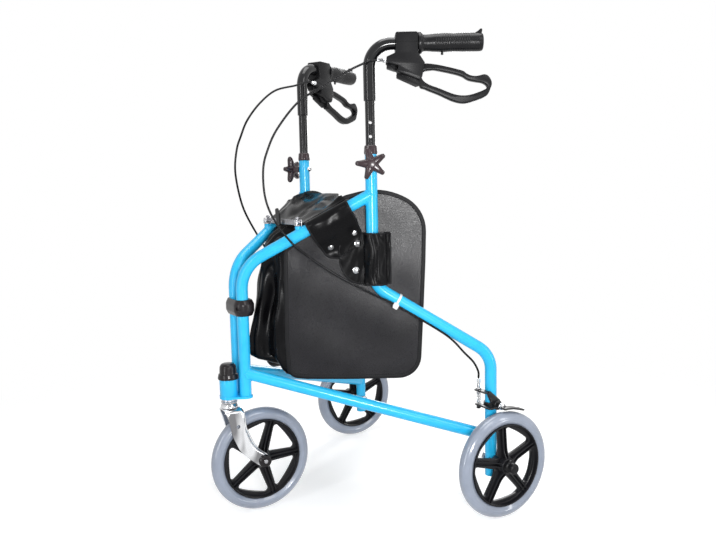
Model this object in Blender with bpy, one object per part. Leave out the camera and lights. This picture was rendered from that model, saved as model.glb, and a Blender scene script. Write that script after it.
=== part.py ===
"""Folding three-wheel walking frame with a shopping bag, modelled in metres.

Left is +X, the user stands at +Y and the single front wheel is at -Y. Each side
frame is drawn in its own plane: X away from the middle of the walker, Y along the
frame from its hinge post and Z up. The right side is the mirror image of the left.
"""
import math

import bmesh
import bpy
from mathutils import Matrix, Vector

# Clearance between pieces that touch, and extra reach of a cutter past a face
GAP = 0.0003
REACH = 0.002

# Wheels and tyres
WHEEL_RADIUS = 0.100
WHEEL_SEGMENTS = 24
TYRE_HALF_WIDTH = 0.0135
TYRE_DEPTH = 0.022
RIM_HALF_WIDTH = 0.0120
RIM_DEPTH = 0.0100
WEB_HALF_WIDTH = 0.0040
SPOKE_COUNT = 5
SPOKE_WIDTH = 0.0165
SPOKE_RIB_WIDTH = 0.0042
SPOKE_RIB_HALF_HEIGHT = 0.0095
HUB_RADIUS = 0.0170
HUB_HALF_WIDTH = 0.0165

# Steel tubes of the two side frames
TUBE_RADIUS = 0.0111
TUBE_WALL = 0.0018
FRAME_ANGLE = math.radians(29.5)
POST_HALF_SPACING = 0.0190
HEAD_AHEAD = 0.0265
UPPER_SLOPE = math.radians(28.0)
LOWER_SLOPE = math.radians(31.8)
UPRIGHT_OUT = 0.2440
UPRIGHT_TOP_Z = 0.6780
BRANCH_Z = 0.6060
UPRIGHT_BORE_SPARE = 0.0150
LEG_OUT = 0.4620
LEG_CORNER_Z = 0.3025
LEG_END_Z = 0.0690
RAIL_FRONT_Z = 0.2770
RAIL_REAR_Z = 0.1440
POST_BEND_RADIUS = 0.070
LOWER_BEND_RADIUS = 0.050

# Head: steering tube, hinge plate, hinge pins and the clamp round both posts
HEAD_TUBE_RADIUS = 0.0170
HEAD_BORE_RADIUS = 0.0130
HEAD_TUBE_FOOT_Z = 0.2248
HEAD_TUBE_TOP_Z = 0.2730
PLATE_FOOT_Z = 0.2300
PLATE_THICKNESS = 0.0040
PLATE_LUG_RADIUS = 0.0135
PIN_LENGTH = 0.0850
PIN_SPIGOT_RADIUS = 0.0050
CAP_RADIUS = 0.0190
CAP_TOP_Z = 0.2964
CAP_LIP = 0.0110
SLEEVE_FOOT_Z = 0.3845
SLEEVE_HEIGHT = 0.0330
SLEEVE_WALL = 0.0040

# Caster fork
FORK_TRAIL = 0.0597
FORK_GAUGE = 0.0030
FORK_INNER_HALF_WIDTH = 0.0175
FORK_TOP_Z = 0.2110
STEM_RADIUS = 0.0060
AXLE_RADIUS = 0.0050
AXLE_HEAD_RADIUS = 0.0085

# Handles
SLIDER_INSERTION = 0.0880
SLIDE_DOWN = 0.0750
HOLE_PITCH = 0.0250
HOLES_ABOVE_KNOB = 3
HOLES_BELOW_KNOB = 2
HOLE_RADIUS = 0.0032
SLIDER_WALL = 0.0015
HANDLE_FOOT_SHARE = 0.4880
GRIP_Z = 0.8735
HANDLE_BEND_RADIUS = 0.0400
GRIP_START = 0.3325
GRIP_END = 0.4497
GRIP_RADIUS = 0.0165
GRIP_FLANGE_RADIUS = 0.0193
COLLAR_WALL = 0.0026
COLLAR_HEIGHT = 0.0160
KNOB_BELOW_TOP = 0.0180
KNOB_STANDOFF = 0.0150
KNOB_THICKNESS = 0.0110
KNOB_TIP_RADIUS = 0.0290
KNOB_STUD_RADIUS = 0.0030

# Hand brake, drawn in the plane of the frame
HOUSING_FRONT = 0.2910
HOUSING_REAR = 0.3322
HOUSING_HALF_WIDTH = 0.0170
HOUSING_HALF_HEIGHT = 0.0178
LEVER_HALF_WIDTH = 0.0072
LEVER_SLOT_SIDE = 0.0008
ROCKER_PIVOT_BEHIND = 0.0090
ROCKER_PIVOT_BELOW = 0.0455
LEVER_PIVOT_BEHIND = 0.0290
LEVER_PIVOT_BELOW = 0.0615
PIVOT_RADIUS = 0.0030
CABLE_RADIUS = 0.0020
CABLE_SIDE = 0.0136
CABLE_ENTRY_BELOW = 0.0305
CABLE_CROSSING_Z = 0.4970
CLIP_AHEAD = 0.0460
CABLE_POINTS = 64

# Tyre brake
ROD_AHEAD = 0.0230
BRAKE_PIVOT_BACK = 0.0030
BRAKE_BARREL_RADIUS = 0.0050
BRAKE_EAR_OUT = 0.0190
SHOE_GAP = 0.0050
SHOE_THICKNESS = 0.0030
SHOE_ARC = math.radians(27.0)
SHOE_HALF_WIDTH = 0.0100
ARM_BELOW_PIVOT = 0.0028
ARM_THICKNESS = 0.0030
TAB_ABOVE_PIVOT = 0.0250
SPRING_TURNS = 4
SPRING_RADIUS = 0.0036
SPRING_WIRE_RADIUS = 0.0006
CLAMP_WALL = 0.0028
CLAMP_HALF_HEIGHT = 0.0160

# Fold brace between the two frames
BRACE_OUT = 0.1080
BRACE_RISE = 0.0233
BRACE_BOSS_RADIUS = 0.0060
BRACE_PIN_RADIUS = 0.0030
LINK_THICKNESS = 0.0030
LINK_HALF_HEIGHT = 0.0048
CLEVIS_WALL = 0.0020
CLEVIS_BASE = 0.0015
CLEVIS_RADIUS = 0.0064
TAB_HEIGHT = 0.0260

# Bag
PANEL_THICKNESS = 0.0025
CLIP_BAND = 0.0012
PANEL_INSET = CLIP_BAND + 2 * GAP
PANEL_BOTTOM_Z = 0.2580
PANEL_ABOVE_BRANCH = 0.0080
PANEL_FRONT = 0.0760
PANEL_REAR = 0.3420
STRAP_THICKNESS = 0.0020
STRAP_GAP = 0.0014
FLAP_START = 0.1450
FLAP_LENGTH = 0.0840
FLAP_DROP = 0.0600
WRAP_ABOVE_CORNER = 0.0023
WRAP_HEIGHT = 0.0940
GUSSET_THICKNESS = 0.0020

# Sizes that follow from the ones above
TUBE_BORE = TUBE_RADIUS - TUBE_WALL
SLIDER_RADIUS = TUBE_BORE - GAP
AXLE_Z = WHEEL_RADIUS
POST_FOOT_Z = PLATE_FOOT_Z + PLATE_THICKNESS + GAP
POST_CORNER_Z = BRANCH_Z - UPRIGHT_OUT * math.tan(UPPER_SLOPE)
UPRIGHT_CORNER_Z = LEG_CORNER_Z + (LEG_OUT - UPRIGHT_OUT) * math.tan(LOWER_SLOPE)
WHEEL_OUT = FORK_INNER_HALF_WIDTH + FORK_INNER_HALF_WIDTH
SLIDER_FOOT_Z = UPRIGHT_TOP_Z - SLIDER_INSERTION
HANDLE_FOOT_Z = UPRIGHT_TOP_Z + HANDLE_FOOT_SHARE * (GRIP_Z - UPRIGHT_TOP_Z)
UPRIGHT_BORE_DEPTH = SLIDER_INSERTION + SLIDE_DOWN + UPRIGHT_BORE_SPARE
KNOB_Z = UPRIGHT_TOP_Z - KNOB_BELOW_TOP
ROCKER_PIVOT = (HOUSING_FRONT + ROCKER_PIVOT_BEHIND, GRIP_Z - ROCKER_PIVOT_BELOW)
LEVER_PIVOT = (HOUSING_FRONT + LEVER_PIVOT_BEHIND, GRIP_Z - LEVER_PIVOT_BELOW)
CABLE_ENTRY_Z = GRIP_Z - CABLE_ENTRY_BELOW
CLIP_OUT = UPRIGHT_OUT + CLIP_AHEAD
BRAKE_PIVOT_Z = 2 * WHEEL_RADIUS + SHOE_GAP + SHOE_THICKNESS
ARM_FOOT_Z = BRAKE_PIVOT_Z - ARM_BELOW_PIVOT
ADJUSTER_TAB_Z = BRAKE_PIVOT_Z + TAB_ABOVE_PIVOT
CLAMP_FOOT_Z = BRAKE_PIVOT_Z - CLAMP_HALF_HEIGHT
CLAMP_TOP_Z = BRAKE_PIVOT_Z + CLAMP_HALF_HEIGHT
BRACE_Z = POST_CORNER_Z + BRACE_OUT * math.tan(UPPER_SLOPE) + BRACE_RISE
PANEL_TOP_Z = BRANCH_Z + PANEL_ABOVE_BRANCH
WRAP_FOOT_Z = UPRIGHT_CORNER_Z + WRAP_ABOVE_CORNER
PANEL_OFF = -(TUBE_RADIUS + PANEL_INSET)
LEG_X = POST_HALF_SPACING + LEG_OUT * math.sin(FRAME_ANGLE)
LEG_Y = LEG_OUT * math.cos(FRAME_ANGLE)
FRONT_EDGE_Y = -HEAD_AHEAD + FORK_TRAIL - WHEEL_RADIUS
MIDDLE_Y = (FRONT_EDGE_Y + LEG_Y + WHEEL_RADIUS) / 2

# Planes for flat outlines: the first two columns are the outline's axes
SIDE_PLANE = Matrix(((0, 0, 1, 0), (1, 0, 0, 0), (0, 1, 0, 0), (0, 0, 0, 1)))
FRONT_PLANE = Matrix(((1, 0, 0, 0), (0, 0, -1, 0), (0, 1, 0, 0), (0, 0, 0, 1)))
ALONG_X = Matrix(((0, 0, 1, 0), (0, 1, 0, 0), (-1, 0, 0, 0), (0, 0, 0, 1)))
ALONG_Y = Matrix(((1, 0, 0, 0), (0, 0, 1, 0), (0, -1, 0, 0), (0, 0, 0, 1)))


def clear_scene():
    """Remove every object of the scene."""
    for item in list(bpy.data.objects):
        bpy.data.objects.remove(item, do_unlink=True)


def finish(name, colour, roughness, metallic=0.0):
    """Material with one colour."""
    material = bpy.data.materials.new(name)
    material.use_nodes = True
    shader = material.node_tree.nodes["Principled BSDF"]
    shader.inputs["Base Color"].default_value = (*colour, 1.0)
    shader.inputs["Roughness"].default_value = roughness
    shader.inputs["Metallic"].default_value = metallic
    material.diffuse_color = (*colour, 1.0)
    return material


def evaluated_mesh(item):
    """Mesh of an object with its modifiers applied; the object is removed."""
    bpy.context.view_layer.update()
    depsgraph = bpy.context.evaluated_depsgraph_get()
    mesh = bpy.data.meshes.new_from_object(item.evaluated_get(depsgraph))
    bpy.data.objects.remove(item, do_unlink=True)
    return mesh


def helper(data):
    """Object that holds a mesh or a curve for one operation."""
    item = bpy.data.objects.new("helper", data)
    bpy.context.scene.collection.objects.link(item)
    return item


def tidy(mesh, distance=0.000001):
    """Weld coincident points, merge flat neighbours and turn every face outward."""
    bm = bmesh.new()
    bm.from_mesh(mesh)
    bmesh.ops.remove_doubles(bm, verts=bm.verts, dist=distance)
    bmesh.ops.dissolve_degenerate(bm, edges=bm.edges, dist=distance)
    bmesh.ops.dissolve_limit(bm, angle_limit=0.0005, verts=bm.verts, edges=bm.edges)
    bmesh.ops.recalc_face_normals(bm, faces=bm.faces)
    bm.to_mesh(mesh)
    bm.free()
    return mesh


def combined(base, tools, operation):
    """Base joined to, cut by or limited to each tool in turn."""
    item = helper(base)
    guides = [helper(tool) for tool in tools]
    for guide in guides:
        change = item.modifiers.new("change", "BOOLEAN")
        change.operation = operation
        change.solver = "EXACT"
        change.object = guide
    mesh = evaluated_mesh(item)
    for guide in guides:
        bpy.data.objects.remove(guide, do_unlink=True)
    return tidy(mesh)


def joined(base, *tools):
    """Union of solids."""
    return combined(base, tools, "UNION")


def cut(base, *tools):
    """Base with each tool taken out."""
    return combined(base, tools, "DIFFERENCE")


def within(base, tool):
    """The part of base inside tool."""
    return combined(base, [tool], "INTERSECT")


def moved(mesh, matrix):
    """Mesh changed by a matrix."""
    mesh.transform(matrix)
    if matrix.determinant() < 0:
        mesh.flip_normals()
    return mesh


def shifted(mesh, x=0.0, y=0.0, z=0.0):
    """Mesh moved by a distance."""
    return moved(mesh, Matrix.Translation((x, y, z)))


def mirrored(mesh):
    """Mirror image of a mesh across the middle of the walker."""
    return moved(mesh.copy(), Matrix.Scale(-1, 4, (1, 0, 0)))


def rounded(corners, radii, steps=3, closed=True):
    """Points of a path through corners, with an arc of each radius at its corner."""
    corners = [Vector(corner) for corner in corners]
    if isinstance(radii, float):
        radii = [radii] * len(corners)
    path = []
    for index, corner in enumerate(corners):
        is_end = not closed and index in (0, len(corners) - 1)
        if is_end or radii[index] == 0:
            path.append(corner)
            continue
        back = (corners[index - 1] - corner).normalized()
        ahead = (corners[(index + 1) % len(corners)] - corner).normalized()
        half = back.angle(ahead) / 2
        centre = corner + (back + ahead).normalized() * radii[index] / math.sin(half)
        reach = radii[index] / math.tan(half)
        start = corner + back * reach - centre
        end = corner + ahead * reach - centre
        for step in range(steps + 1):
            path.append(centre + start.slerp(end, step / steps).normalized() * radii[index])
    return path


def circle(radius, segments, centre=(0.0, 0.0), phase=0.0):
    """Points round a circle."""
    points = []
    for index in range(segments):
        angle = phase + math.tau * index / segments
        points.append((centre[0] + radius * math.cos(angle), centre[1] + radius * math.sin(angle)))
    return points


def arc(radius, start, end, steps, centre=(0.0, 0.0)):
    """Points along a stretch of a circle."""
    points = []
    for index in range(steps + 1):
        angle = start + (end - start) * index / steps
        points.append((centre[0] + radius * math.cos(angle), centre[1] + radius * math.sin(angle)))
    return points


def plate(outline, low, high, holes=()):
    """Flat plate between two heights, with its outline and holes in X and Y."""
    curve = bpy.data.curves.new("outline", "CURVE")
    curve.dimensions = "2D"
    curve.fill_mode = "BOTH"
    curve.extrude = (high - low) / 2
    for loop in (outline, *holes):
        spline = curve.splines.new("POLY")
        spline.points.add(len(loop) - 1)
        for knot, point in zip(spline.points, loop):
            knot.co = (point[0], point[1], 0, 1)
        spline.use_cyclic_u = True
    mesh = tidy(evaluated_mesh(helper(curve)))
    return shifted(mesh, z=(low + high) / 2)


def side_plate(outline, low, high, holes=()):
    """Plate whose outline is in Y and Z, between two values of X."""
    return moved(plate(outline, low, high, holes), SIDE_PLANE)


def block(x, y, z):
    """Box between the two values given for each direction."""
    outline = [(x[0], y[0]), (x[1], y[0]), (x[1], y[1]), (x[0], y[1])]
    return plate(outline, z[0], z[1])


def round_bar(points, radius, resolution=4):
    """Round bar along points, closed at both ends."""
    curve = bpy.data.curves.new("bar", "CURVE")
    curve.dimensions = "3D"
    curve.bevel_depth = radius
    curve.bevel_resolution = resolution
    curve.use_fill_caps = True
    spline = curve.splines.new("POLY")
    spline.points.add(len(points) - 1)
    for knot, point in zip(spline.points, points):
        knot.co = (*point, 1)
    return tidy(evaluated_mesh(helper(curve)))


def rod(start, end, radius, segments=16):
    """Straight round rod between two points."""
    start = Vector(start)
    end = Vector(end)
    turn = (end - start).to_track_quat("Z", "Y").to_matrix().to_4x4()
    bm = bmesh.new()
    bmesh.ops.create_cone(bm, cap_ends=True, segments=segments, radius1=radius, radius2=radius,
                          depth=(end - start).length, matrix=Matrix.Translation((start + end) / 2) @ turn)
    mesh = bpy.data.meshes.new("rod")
    bm.to_mesh(mesh)
    bm.free()
    return mesh


def turned(profile, segments, closed=False, phase=0.0):
    """Solid of revolution about Z of (radius, height) points."""
    bm = bmesh.new()
    rings = []
    for radius, height in profile:
        if radius == 0:
            rings.append([bm.verts.new((0, 0, height))])
            continue
        rings.append([bm.verts.new((x, y, height)) for x, y in circle(radius, segments, phase=phase)])
    pairs = list(zip(rings, rings[1:]))
    if closed:
        pairs.append((rings[-1], rings[0]))
    for lower, upper in pairs:
        if len(lower) == len(upper) == 1:
            continue
        for index in range(segments):
            ahead = index + 1
            corners = [lower[index % len(lower)], lower[ahead % len(lower)],
                       upper[ahead % len(upper)], upper[index % len(upper)]]
            bm.faces.new(list(dict.fromkeys(corners)))
    bmesh.ops.recalc_face_normals(bm, faces=bm.faces)
    mesh = bpy.data.meshes.new("turned")
    bm.to_mesh(mesh)
    bm.free()
    return mesh


def strip_outline(path, thickness):
    """Closed outline of a strip of even thickness along a flat path."""
    path = [Vector(point) for point in path]
    left = []
    right = []
    for index, point in enumerate(path):
        before = path[max(index - 1, 0)]
        after = path[min(index + 1, len(path) - 1)]
        along = (after - before).normalized()
        side = Vector((-along.y, along.x)) * thickness / 2
        left.append(point + side)
        right.append(point - side)
    return left + right[::-1]


def smooth_route(knots, count):
    """Evenly spaced points on a smooth curve through the knots."""
    knots = [Vector(knot) for knot in knots]
    padded = [2 * knots[0] - knots[1], *knots, 2 * knots[-1] - knots[-2]]
    fine = []
    for a, b, c, d in zip(padded, padded[1:], padded[2:], padded[3:]):
        for step in range(24):
            t = step / 24
            point = 2 * b + (c - a) * t + (2 * a - 5 * b + 4 * c - d) * t ** 2 + (3 * b - a - 3 * c + d) * t ** 3
            fine.append(point / 2)
    fine.append(knots[-1])
    travelled = [0.0]
    for before, after in zip(fine, fine[1:]):
        travelled.append(travelled[-1] + (after - before).length)
    route = []
    index = 0
    for number in range(count):
        target = travelled[-1] * number / (count - 1)
        while index < len(fine) - 2 and travelled[index + 1] < target:
            index += 1
        share = (target - travelled[index]) / (travelled[index + 1] - travelled[index])
        route.append(fine[index].lerp(fine[index + 1], share))
    return route, travelled[-1]


def place(name, mesh, parent, material, edge_angle=35.0):
    """Object of a finished mesh under its parent."""
    item = bpy.data.objects.new(name, mesh)
    bpy.context.scene.collection.objects.link(item)
    mesh.name = name
    mesh.materials.clear()
    mesh.materials.append(material)
    mesh.shade_smooth()
    mesh.set_sharp_from_angle(angle=math.radians(edge_angle))
    item.parent = parent
    return item


def place_pair(name, mesh, parents, material):
    """Left object and its mirror image on the right."""
    place(f"left_{name}", mesh, parents[1], material)
    place(f"right_{name}", mirrored(mesh), parents[-1], material)


def axis_empty(name, parent, location, turn=0.0):
    """Empty on a joint's axis, turned about Z."""
    item = bpy.data.objects.new(name, None)
    bpy.context.scene.collection.objects.link(item)
    item.empty_display_size = 0.02
    item.parent = parent
    item.location = location
    item.rotation_euler.z = turn
    return item


def upper_slope_point(out, above=0.0):
    """Height of the upper sloping tube's axis at a distance from the post."""
    return POST_CORNER_Z + out * math.tan(UPPER_SLOPE) + above


def lower_slope_point(out):
    """Height of the lower sloping tube's axis at a distance from the post."""
    return LEG_CORNER_Z + (LEG_OUT - out) * math.tan(LOWER_SLOPE)


def in_frame(points):
    """Points of the frame's plane as points in space."""
    return [Vector((0, out, height)) for out, height in points]


def side_frame():
    """Welded side frame: hinge post with upper slope, upright with leg, and bottom rail."""
    post = rounded([(0, POST_FOOT_Z), (0, POST_CORNER_Z), (UPRIGHT_OUT, BRANCH_Z)],
                   POST_BEND_RADIUS, steps=4, closed=False)
    leg = rounded([(UPRIGHT_OUT, UPRIGHT_TOP_Z), (UPRIGHT_OUT, UPRIGHT_CORNER_Z),
                   (LEG_OUT, LEG_CORNER_Z), (LEG_OUT, LEG_END_Z)],
                  LOWER_BEND_RADIUS, steps=4, closed=False)
    rail = [(0, RAIL_FRONT_Z), (LEG_OUT, RAIL_REAR_Z)]
    mesh = joined(round_bar(in_frame(leg), TUBE_RADIUS),
                  round_bar(in_frame(post), TUBE_RADIUS - GAP / 2),
                  round_bar(in_frame(rail), TUBE_RADIUS - GAP),
                  rod((0, BRACE_OUT, upper_slope_point(BRACE_OUT)), (0, BRACE_OUT, clevis_foot() - GAP),
                      BRACE_BOSS_RADIUS, 12))
    post_bore = rod((0, 0, POST_FOOT_Z - REACH), (0, 0, POST_FOOT_Z + PIN_LENGTH + REACH), TUBE_BORE)
    upright_bore = rod((0, UPRIGHT_OUT, UPRIGHT_TOP_Z - UPRIGHT_BORE_DEPTH),
                       (0, UPRIGHT_OUT, UPRIGHT_TOP_Z + REACH), TUBE_BORE)
    leg_bore = rod((0, LEG_OUT, LEG_END_Z - REACH), (0, LEG_OUT, AXLE_Z - AXLE_RADIUS - TUBE_WALL * 3), TUBE_BORE)
    across = Vector((math.cos(FRAME_ANGLE), math.sin(FRAME_ANGLE), 0)) * TUBE_RADIUS * 1.5
    axle = Vector((0, LEG_OUT, AXLE_Z))
    axle_hole = rod(axle - across, axle + across, AXLE_RADIUS + GAP, 12)
    knob_hole = rod((0, UPRIGHT_OUT, KNOB_Z), (TUBE_RADIUS + REACH, UPRIGHT_OUT, KNOB_Z), KNOB_STUD_RADIUS + GAP, 10)
    boss_hole = rod((0, BRACE_OUT, clevis_foot() - BRACE_BOSS_RADIUS), (0, BRACE_OUT, clevis_foot() + REACH),
                    BRACE_PIN_RADIUS + GAP, 10)
    return cut(mesh, post_bore, upright_bore, leg_bore, axle_hole, knob_hole, boss_hole)


def head_tube():
    """Steering tube with the hinge plate welded round it."""
    profile = [(HEAD_TUBE_RADIUS, HEAD_TUBE_FOOT_Z), (HEAD_TUBE_RADIUS, HEAD_TUBE_TOP_Z), (0, HEAD_TUBE_TOP_Z)]
    tube = turned([(0, HEAD_TUBE_FOOT_Z), *profile], 20)
    plate_top = PLATE_FOOT_Z + PLATE_THICKNESS
    posts = [(side * POST_HALF_SPACING, HEAD_AHEAD) for side in (-1, 1)]
    start = math.radians(-25)
    right_end = arc(PLATE_LUG_RADIUS, start, math.radians(115), 6, posts[1])
    left_end = [(-x, y) for x, y in right_end][::-1]
    front = arc(HEAD_TUBE_RADIUS + PLATE_THICKNESS / 2, math.radians(200), math.radians(340), 6)
    hinge_plate = plate(right_end + left_end + front, PLATE_FOOT_Z, plate_top)
    bore = rod((0, 0, HEAD_TUBE_FOOT_Z - REACH), (0, 0, HEAD_TUBE_TOP_Z + REACH), HEAD_BORE_RADIUS, 20)
    pins = [rod((x, y, PLATE_FOOT_Z - REACH), (x, y, plate_top + REACH), PIN_SPIGOT_RADIUS + GAP, 12) for x, y in posts]
    return cut(joined(tube, hinge_plate), bore, *pins)


def hinge_pin():
    """Pin that stands on the hinge plate inside a post."""
    radius = TUBE_BORE - GAP
    top = POST_FOOT_Z + PIN_LENGTH
    profile = [(0, PLATE_FOOT_Z), (PIN_SPIGOT_RADIUS, PLATE_FOOT_Z), (PIN_SPIGOT_RADIUS, POST_FOOT_Z),
               (radius, POST_FOOT_Z), (radius, top - radius / 3), (radius * 2 / 3, top), (0, top)]
    return turned(profile, 12)


def head_cap():
    """Domed cap that slips over the top of the steering tube."""
    lip_foot = HEAD_TUBE_TOP_Z - CAP_LIP
    inner = HEAD_TUBE_RADIUS + GAP
    wall = CAP_RADIUS - inner
    shoulder = HEAD_TUBE_TOP_Z + wall * 2
    outer_dome = [(CAP_RADIUS * 0.93, shoulder), (CAP_RADIUS * 0.9, CAP_TOP_Z - 0.009),
                  (CAP_RADIUS * 0.74, CAP_TOP_Z - 0.0028), (CAP_RADIUS * 0.4, CAP_TOP_Z), (0, CAP_TOP_Z)]
    inner_dome = [(0, CAP_TOP_Z - 0.006), (CAP_RADIUS * 0.62, CAP_TOP_Z - 0.009),
                  (CAP_RADIUS * 0.66, HEAD_TUBE_TOP_Z + GAP), (inner, HEAD_TUBE_TOP_Z + GAP), (inner, lip_foot)]
    return turned([*inner_dome, (CAP_RADIUS, lip_foot), (CAP_RADIUS, HEAD_TUBE_TOP_Z), *outer_dome], 20)


def post_sleeve():
    """Plastic clamp that holds both posts side by side."""
    radius = TUBE_RADIUS + GAP + SLEEVE_WALL
    right_end = arc(radius, math.radians(-90), math.radians(90), 6, (POST_HALF_SPACING, 0))
    outline = right_end + [(-x, y) for x, y in right_end][::-1]
    top = SLEEVE_FOOT_Z + SLEEVE_HEIGHT
    body = plate(outline, SLEEVE_FOOT_Z, top)
    lug = block((-0.009, 0.009), (0, radius + 0.005), (SLEEVE_FOOT_Z + 0.006, top - 0.006))
    middle = (SLEEVE_FOOT_Z + top) / 2
    slot = block((-0.006, 0.006), (-radius - REACH, -radius + 0.0015), (middle - 0.0025, middle + 0.0025))
    bores = [rod((side * POST_HALF_SPACING, 0, SLEEVE_FOOT_Z - REACH),
                 (side * POST_HALF_SPACING, 0, top + REACH), TUBE_RADIUS + GAP, 16) for side in (-1, 1)]
    return cut(joined(body, lug), slot, *bores)


def caster_fork():
    """Pressed steel fork: swept-back blades under a crown with rounded shoulders."""
    top = FORK_TOP_Z
    axle = (FORK_TRAIL, AXLE_Z)
    end = arc(0.0115, math.radians(50), math.radians(-110), 5, axle)
    rear = [(0.022, top), (0.0235, 0.186), (0.0285, 0.169), (0.041, 0.142), (0.055, 0.119)]
    front = [(0.041, 0.098), (0.0215, 0.123), (0.006, 0.148), (-0.0055, 0.173), (-0.0105, 0.194), (-0.0120, top)]
    outline = [*rear, *end, *front]
    half = FORK_INNER_HALF_WIDTH + FORK_GAUGE
    shoulders = rounded([(-half, AXLE_Z / 2), (half, AXLE_Z / 2), (half, top), (-half, top)],
                        [0.0, 0.0, 0.009, 0.009])
    inside = rounded([(-FORK_INNER_HALF_WIDTH, 0), (FORK_INNER_HALF_WIDTH, 0),
                      (FORK_INNER_HALF_WIDTH, top - FORK_GAUGE), (-FORK_INNER_HALF_WIDTH, top - FORK_GAUGE)],
                     [0.0, 0.0, 0.006, 0.006])
    reach = FORK_TRAIL * 2
    mesh = within(side_plate(outline, -half - REACH, half + REACH), moved(plate(shoulders, -reach, reach), FRONT_PLANE))
    hollow = moved(plate(inside, -reach, reach), FRONT_PLANE)
    stem_hole = rod((0, 0, top - FORK_GAUGE * 4), (0, 0, top + REACH), STEM_RADIUS + GAP)
    axle_hole = rod((-half - REACH, *axle), (half + REACH, *axle), AXLE_RADIUS + GAP, 12)
    side_hole = rod((-half - REACH, 0.008, 0.177), (half + REACH, 0.008, 0.177), 0.0038, 10)
    return cut(mesh, hollow, stem_hole, axle_hole, side_hole)


def caster_stem():
    """Steering bolt with its head, lock nut, washer and two bearings in the steering tube."""
    race = HEAD_BORE_RADIUS - GAP
    under = FORK_TOP_Z - FORK_GAUGE - GAP
    over = FORK_TOP_Z + GAP
    foot = HEAD_TUBE_FOOT_Z
    top = HEAD_TUBE_TOP_Z
    profile = [(0, under - 0.005), (0.008, under - 0.005), (0.009, under), (STEM_RADIUS, under),
               (STEM_RADIUS, over), (0.0135, over), (0.0135, over + 0.002), (0.0105, over + 0.002),
               (0.0105, foot - 0.0045), (0.0150, foot - 0.0035), (0.0150, foot - GAP), (race, foot - GAP),
               (race, foot + 0.008), (STEM_RADIUS, foot + 0.008), (STEM_RADIUS, top - 0.012),
               (race, top - 0.012), (race, top - 0.004), (0.0095, top - 0.004), (0.0095, top + 0.007), (0, top + 0.007)]
    return turned(profile, 10)


def bolt_along_x(parts):
    """Turned bolt along X from (end of the stretch, radius) pairs, first the start."""
    start = parts[0]
    profile = [(0, start)]
    previous = start
    for end, radius in parts[1:]:
        profile += [(radius, previous), (radius, end)]
        previous = end
    profile.append((0, previous))
    return moved(turned(profile, 10), ALONG_X)


def front_axle():
    """Axle bolt through both fork blades, with its head and nut."""
    out = FORK_INNER_HALF_WIDTH + FORK_GAUGE + GAP
    return bolt_along_x([-out - 0.0065, (-out, AXLE_HEAD_RADIUS), (out, AXLE_RADIUS), (out + 0.0065, AXLE_HEAD_RADIUS)])


def rear_axle():
    """Axle bolt through the leg, with head, spacer and nut, from the leg's middle outward."""
    tube = TUBE_RADIUS + GAP
    hub = WHEEL_OUT - HUB_HALF_WIDTH - GAP
    out = WHEEL_OUT + HUB_HALF_WIDTH + GAP
    return bolt_along_x([-tube - 0.0065, (-tube, AXLE_HEAD_RADIUS), (tube, AXLE_RADIUS), (hub, AXLE_HEAD_RADIUS),
                         (out, AXLE_RADIUS), (out + 0.0060, AXLE_HEAD_RADIUS)])


def tyre():
    """Tyre turned about X, with a flat facet on the ground."""
    flats = 1 / math.cos(math.pi / WHEEL_SEGMENTS)
    inner = WHEEL_RADIUS - TYRE_DEPTH
    section = [(0.67, inner), (1.0, inner + TYRE_DEPTH * 0.42), (0.74, WHEEL_RADIUS - TYRE_DEPTH * 0.14), (0.0, WHEEL_RADIUS)]
    half = [(radius * flats, share * TYRE_HALF_WIDTH) for share, radius in section]
    profile = half + [(radius, -across) for radius, across in half[-2::-1]]
    ring = turned(profile, WHEEL_SEGMENTS, closed=True, phase=math.pi / WHEEL_SEGMENTS)
    return moved(ring, ALONG_X)


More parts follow.
